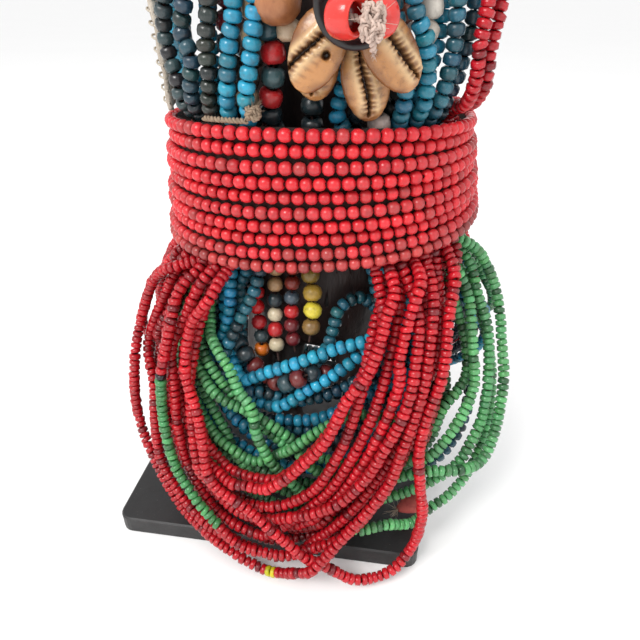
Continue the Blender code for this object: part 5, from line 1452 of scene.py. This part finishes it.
def tie():
    """The pale knot in front of the disc, the twine through the ring beads, and its tail."""
    rng = np.random.default_rng(5)
    spot, right, up, out = knot_frame()
    tint = srgb(218, 192, 178)
    spot = spot + right * KNOT_SHIFT[0] + up * KNOT_SHIFT[1]
    windings = ((0.12, (right, up, out), (KNOT_WIDTH, KNOT_HEIGHT * 0.72, KNOT_WIDTH), 0.42, 3),
                (-0.10, (up, out, right), (KNOT_HEIGHT * 0.75, KNOT_WIDTH, KNOT_WIDTH), 0.40, 5),
                (0.0, (out, right, up), (KNOT_WIDTH, KNOT_WIDTH, KNOT_HEIGHT), 0.38, 5))
    chunks = []
    for above, axes, size, thick, turns in windings:
        chunks += knot(spot + up * KNOT_HEIGHT * above, axes, size, TWINE * thick, tint, turns)
    tail = [spot + KNOT_HEIGHT * TAIL_SHARE * (right * aside + up * above + out * ahead)
            for aside, above, ahead in TAIL_AT]
    chunks += twisted(smooth([spot - up * 0.001, *tail], 0.0006), TWINE * 0.5, tint)
    chunks += frays(tail[-1], right * 0.3 - up, 20, 0.0015, tint, rng)
    chunks += frays(spot, up, 46, 0.0042, tint, rng, 1.0)
    for side in (-1, 1):
        bead, axis = barrel_frame(side)
        way = [spot, spot - out * 0.002 + axis * side * 0.0006, bead - axis * side * 0.001,
               bead + axis * side * BARREL_LENGTH * 0.45]
        chunks += twisted(smooth(way, 0.0006), TWINE * 0.5, tint)
    piece("pendant_tie", chunks, thread_finish(), ("pendant_knot",), "pale_twine")


def bell(off, width, power=2):
    """One in the middle and nothing far from it."""
    return np.exp(-abs(off / width) ** power)


def shell(at, slit):
    """A cowrie, slit side out, as one chunk: an egg with a toothed slit between rounded lips."""
    spot, long_way, wide_way, out = cowrie_frame(at)
    run = -0.5 * np.cos(np.linspace(0.12, math.pi - 0.12, SHELL_ROWS))
    run = run / abs(run).max() * 0.5
    size = np.interp(run, *np.transpose(SHELL_OUTLINE))
    turn = np.linspace(0, 2 * np.pi, SHELL_COLUMNS, endpoint=False)
    across = np.cos(turn)[None, :] * size[:, None] * COWRIE_WIDTH
    round_way = np.sign(np.sin(turn)) * abs(np.sin(turn)) ** 0.9 * np.where(np.sin(turn) > 0, SHELL_FLAT, 1.0)
    forward = round_way[None, :] * size[:, None] * COWRIE_DEPTH * 1.06
    long_run = np.broadcast_to(run[:, None], across.shape)
    front = np.sin(turn)[None, :] > 0.02
    side_of, slope, bend, (hole_across, hole_along, holes) = slit
    ahead = long_run * COWRIE_LENGTH
    off = across - side_of * COWRIE_WIDTH - slope * ahead - bend * 0.0010 * np.sin(long_run * 6.0)
    ends = np.clip((0.45 - abs(long_run)) / 0.07, 0, 1)
    wobble = 0.00025 * np.sin(long_run * 31 + at[0] * 9)
    teeth = (0.5 + 0.5 * np.cos(2 * np.pi * (ahead + wobble) / TOOTH_PITCH)) ** 1.5
    gap = bell(off, SLIT_WIDTH - TOOTH_LENGTH * teeth + 0.00014 * np.sin(long_run * 9 + 2), 4) * ends
    lips = bell(abs(off) - LIP_AT, LIP_WIDTH) * ends
    notches = bell(abs(off) - NOTCH_AT, NOTCH_WIDTH) * ends * (1 - teeth)
    creases = bell(off - CREASE_AT, CREASE_WIDTH) * ends * np.clip(np.sin(ahead / 0.00030 + 5 * at[1]), 0, 1)
    holed = bell(np.hypot(across - hole_across, ahead - hole_along), HOLE_RADIUS, 6) * holes
    forward = forward + front * (LIP_RISE * lips - SLIT_DEPTH * gap - NOTCH_DEPTH * notches
                                 - CREASE_DEPTH * creases - HOLE_DEPTH * holed)
    placed = spot + np.stack([ahead, across, forward], -1) @ np.array((long_way, wide_way, out))
    shade = np.broadcast_to(srgb(198, 140, 86), placed.shape)
    patches = np.sin(long_run * 7 + 4 * at[0]) * np.cos(across / 0.0030 + 3 * at[1])
    patches = np.clip(patches - 0.35, 0, 1) * 1.2
    edge = np.clip((abs(np.cos(turn)) - 0.72) / 0.28, 0, 1)[None, :] * 0.75
    # Painted shade: the slit, gap, and the hole, holed, are painted near black, dark, where their hollows are
    # in shade
    lip, rim, dark = srgb(238, 202, 152), srgb(104, 58, 34), srgb(30, 15, 10)
    # Painted shade: the notches between the teeth and the creases beside the slit are painted dark brown,
    # rim, where shade falls in them
    for share, colour in ((edge, srgb(116, 70, 40)), (patches, srgb(108, 62, 42)),
                          (front * creases * 0.6, rim), (front * lips * 0.85, lip),
                          (front * notches * 0.75, rim), (front * gap, dark), (front * holed, dark)):
        share = np.clip(share, 0, 1)[..., None]
        shade = shade * (1 - share) + colour * share
    return placed.reshape(-1, 3), grid_faces(SHELL_ROWS, SHELL_COLUMNS), shade.reshape(-1, 3)


def shells():
    """The four cowries below the disc."""
    made = shell_finish()
    for number, (at, slit) in enumerate(zip(COWRIES_AT, SLITS)):
        piece(f"cowrie_shell_{number + 1}", [shell(at, slit)], made, (f"cowrie_{number + 1}",),
              "cowrie_shell")


def small_pieces():
    """The dull red cone with its tuft, the strip of hide, and the twine that ties the belt."""
    rng = np.random.default_rng(31)
    right, up, out = facing(CONE_AT[0])
    axis = unit(right * 0.9 + up * 0.1 + out * 0.2)
    spot, half = place(*CONE_AT), CONE_LENGTH / 2
    cone = turned(spot, axis, scaled(CONE_PROFILE, half, CONE_DIAMETER / 2, 0.0002), 40, (0.3, 0.1, 0.1))
    piece("red_cone", [cone], cone_finish(), ("seed_cone",), "dull_red")
    fibre = thread_finish()
    piece("cone_tuft", frays(spot - axis * half, -axis, 34, 0.0046, srgb(196, 176, 156), rng, 0.45), fibre,
          ("seed_cone",))

    grey = srgb(160, 138, 116)
    lift = BELT_BEAD / 2 / UNIT + (TWINE / 2 + GAP) / UNIT + 0.1
    points = []
    for angle in np.linspace(*CORD_ANGLES, 16):
        height, far = belt_row(BELT_ROWS - 1, angle)
        points.append(out_from(angle, height + lift, far))
    end, axes = points[-1] + CORD_KNOT_SHIFT, np.eye(3)
    chunks = twisted(points, TWINE * 0.5, grey)
    chunks += knot(end, axes, (0.0048, 0.0042, 0.0042), CORD_PLY, grey)
    chunks += knot(end, axes[[1, 2, 0]], (0.0040, 0.0040, 0.0044), CORD_PLY, grey, 5)
    chunks += frays(end, (0.6, 0.2, 0.9), 40, 0.0034, grey, rng, 0.8)
    piece("belt_twine", chunks, fibre, ("belt_cord",), "grey_twine")
    hide(rng)


def hide(rng):
    """The strip of hide on the flank, with a ragged front edge and stitches along it."""
    first, last = HIDE_ANGLES
    low, high = HIDE_HEIGHTS
    ragged = np.convolve(rng.normal(0, 1, HIDE_ROWS + 8), np.ones(5) / 5, "same")[:HIDE_ROWS]
    sheets = []
    for thickness in (0.0, HIDE_THICKNESS / UNIT):
        for height, rag in zip(low + (high - low) * np.linspace(0, 1, HIDE_ROWS), ragged):
            edge = first - HIDE_RAGGED * abs(rag)
            for run in np.linspace(0, 1, HIDE_COLUMNS):
                swell = HIDE_SWELL * math.sin(0.5 * height + 7 * run) * (thickness > 0)
                sheets.append(place(edge + (last - edge) * run, height, HIDE_LAYER + thickness + swell))
    sheets = np.array(sheets)
    count = len(sheets) // 2
    numbers = np.arange(count).reshape(HIDE_ROWS, HIDE_COLUMNS)
    rim = [*numbers[0], *numbers[1:, -1], *numbers[-1, -2::-1], *numbers[-2:0:-1, 0]]
    rim = np.array([(a, b, count + b, count + a) for a, b in zip(rim, rim[1:] + rim[:1])])
    outer = grid_faces(HIDE_ROWS, HIDE_COLUMNS, False)
    skin = (sheets, np.vstack([outer[:, ::-1], outer + count, rim]), np.full(sheets.shape, 0.5))
    piece("hide_skin", [skin], hide_finish(), ("hide_strip",), "pale_hide")
    pale = srgb(206, 196, 180)
    chunks = []
    for height in np.arange(low + 2, high - 1, STITCH_PITCH):
        stitch = [place(first + turn, height + above, HIDE_LAYER + layer) for turn, above, layer in STITCH]
        chunks.append(rope(smooth(stitch, 0.0005), 0.00032, 5, pale))
    right, _, out = facing(first - 1.0)
    for height in np.arange(low + 1, high, HAIR_PITCH):
        spot = place(first - 1.0, height, HIDE_LAYER + 0.6)
        chunks += frays(spot, right * 0.7 + out * 0.2, 1, 0.0020, pale, rng, 0.5)
    piece("hide_stitches", chunks, thread_finish(), ("hide_strip",))


def studio():
    mesh = bpy.data.meshes.new("floor")
    wide = FLOOR_REACH
    corners = [(-wide, -wide, 0), (wide, -wide, 0), (wide, wide, 0), (-wide, wide, 0)]
    mesh.from_pydata(corners, [], [(0, 1, 2, 3)])
    mesh.materials.append(floor_finish())
    floor = bpy.data.objects.new("floor", mesh)
    bpy.context.scene.collection.objects.link(floor)


set_camera()
set_lights()
studio()
plate()
figure()
waist()
dress()
pendant()
shells()
small_pieces()
bpy.context.view_layer.update()
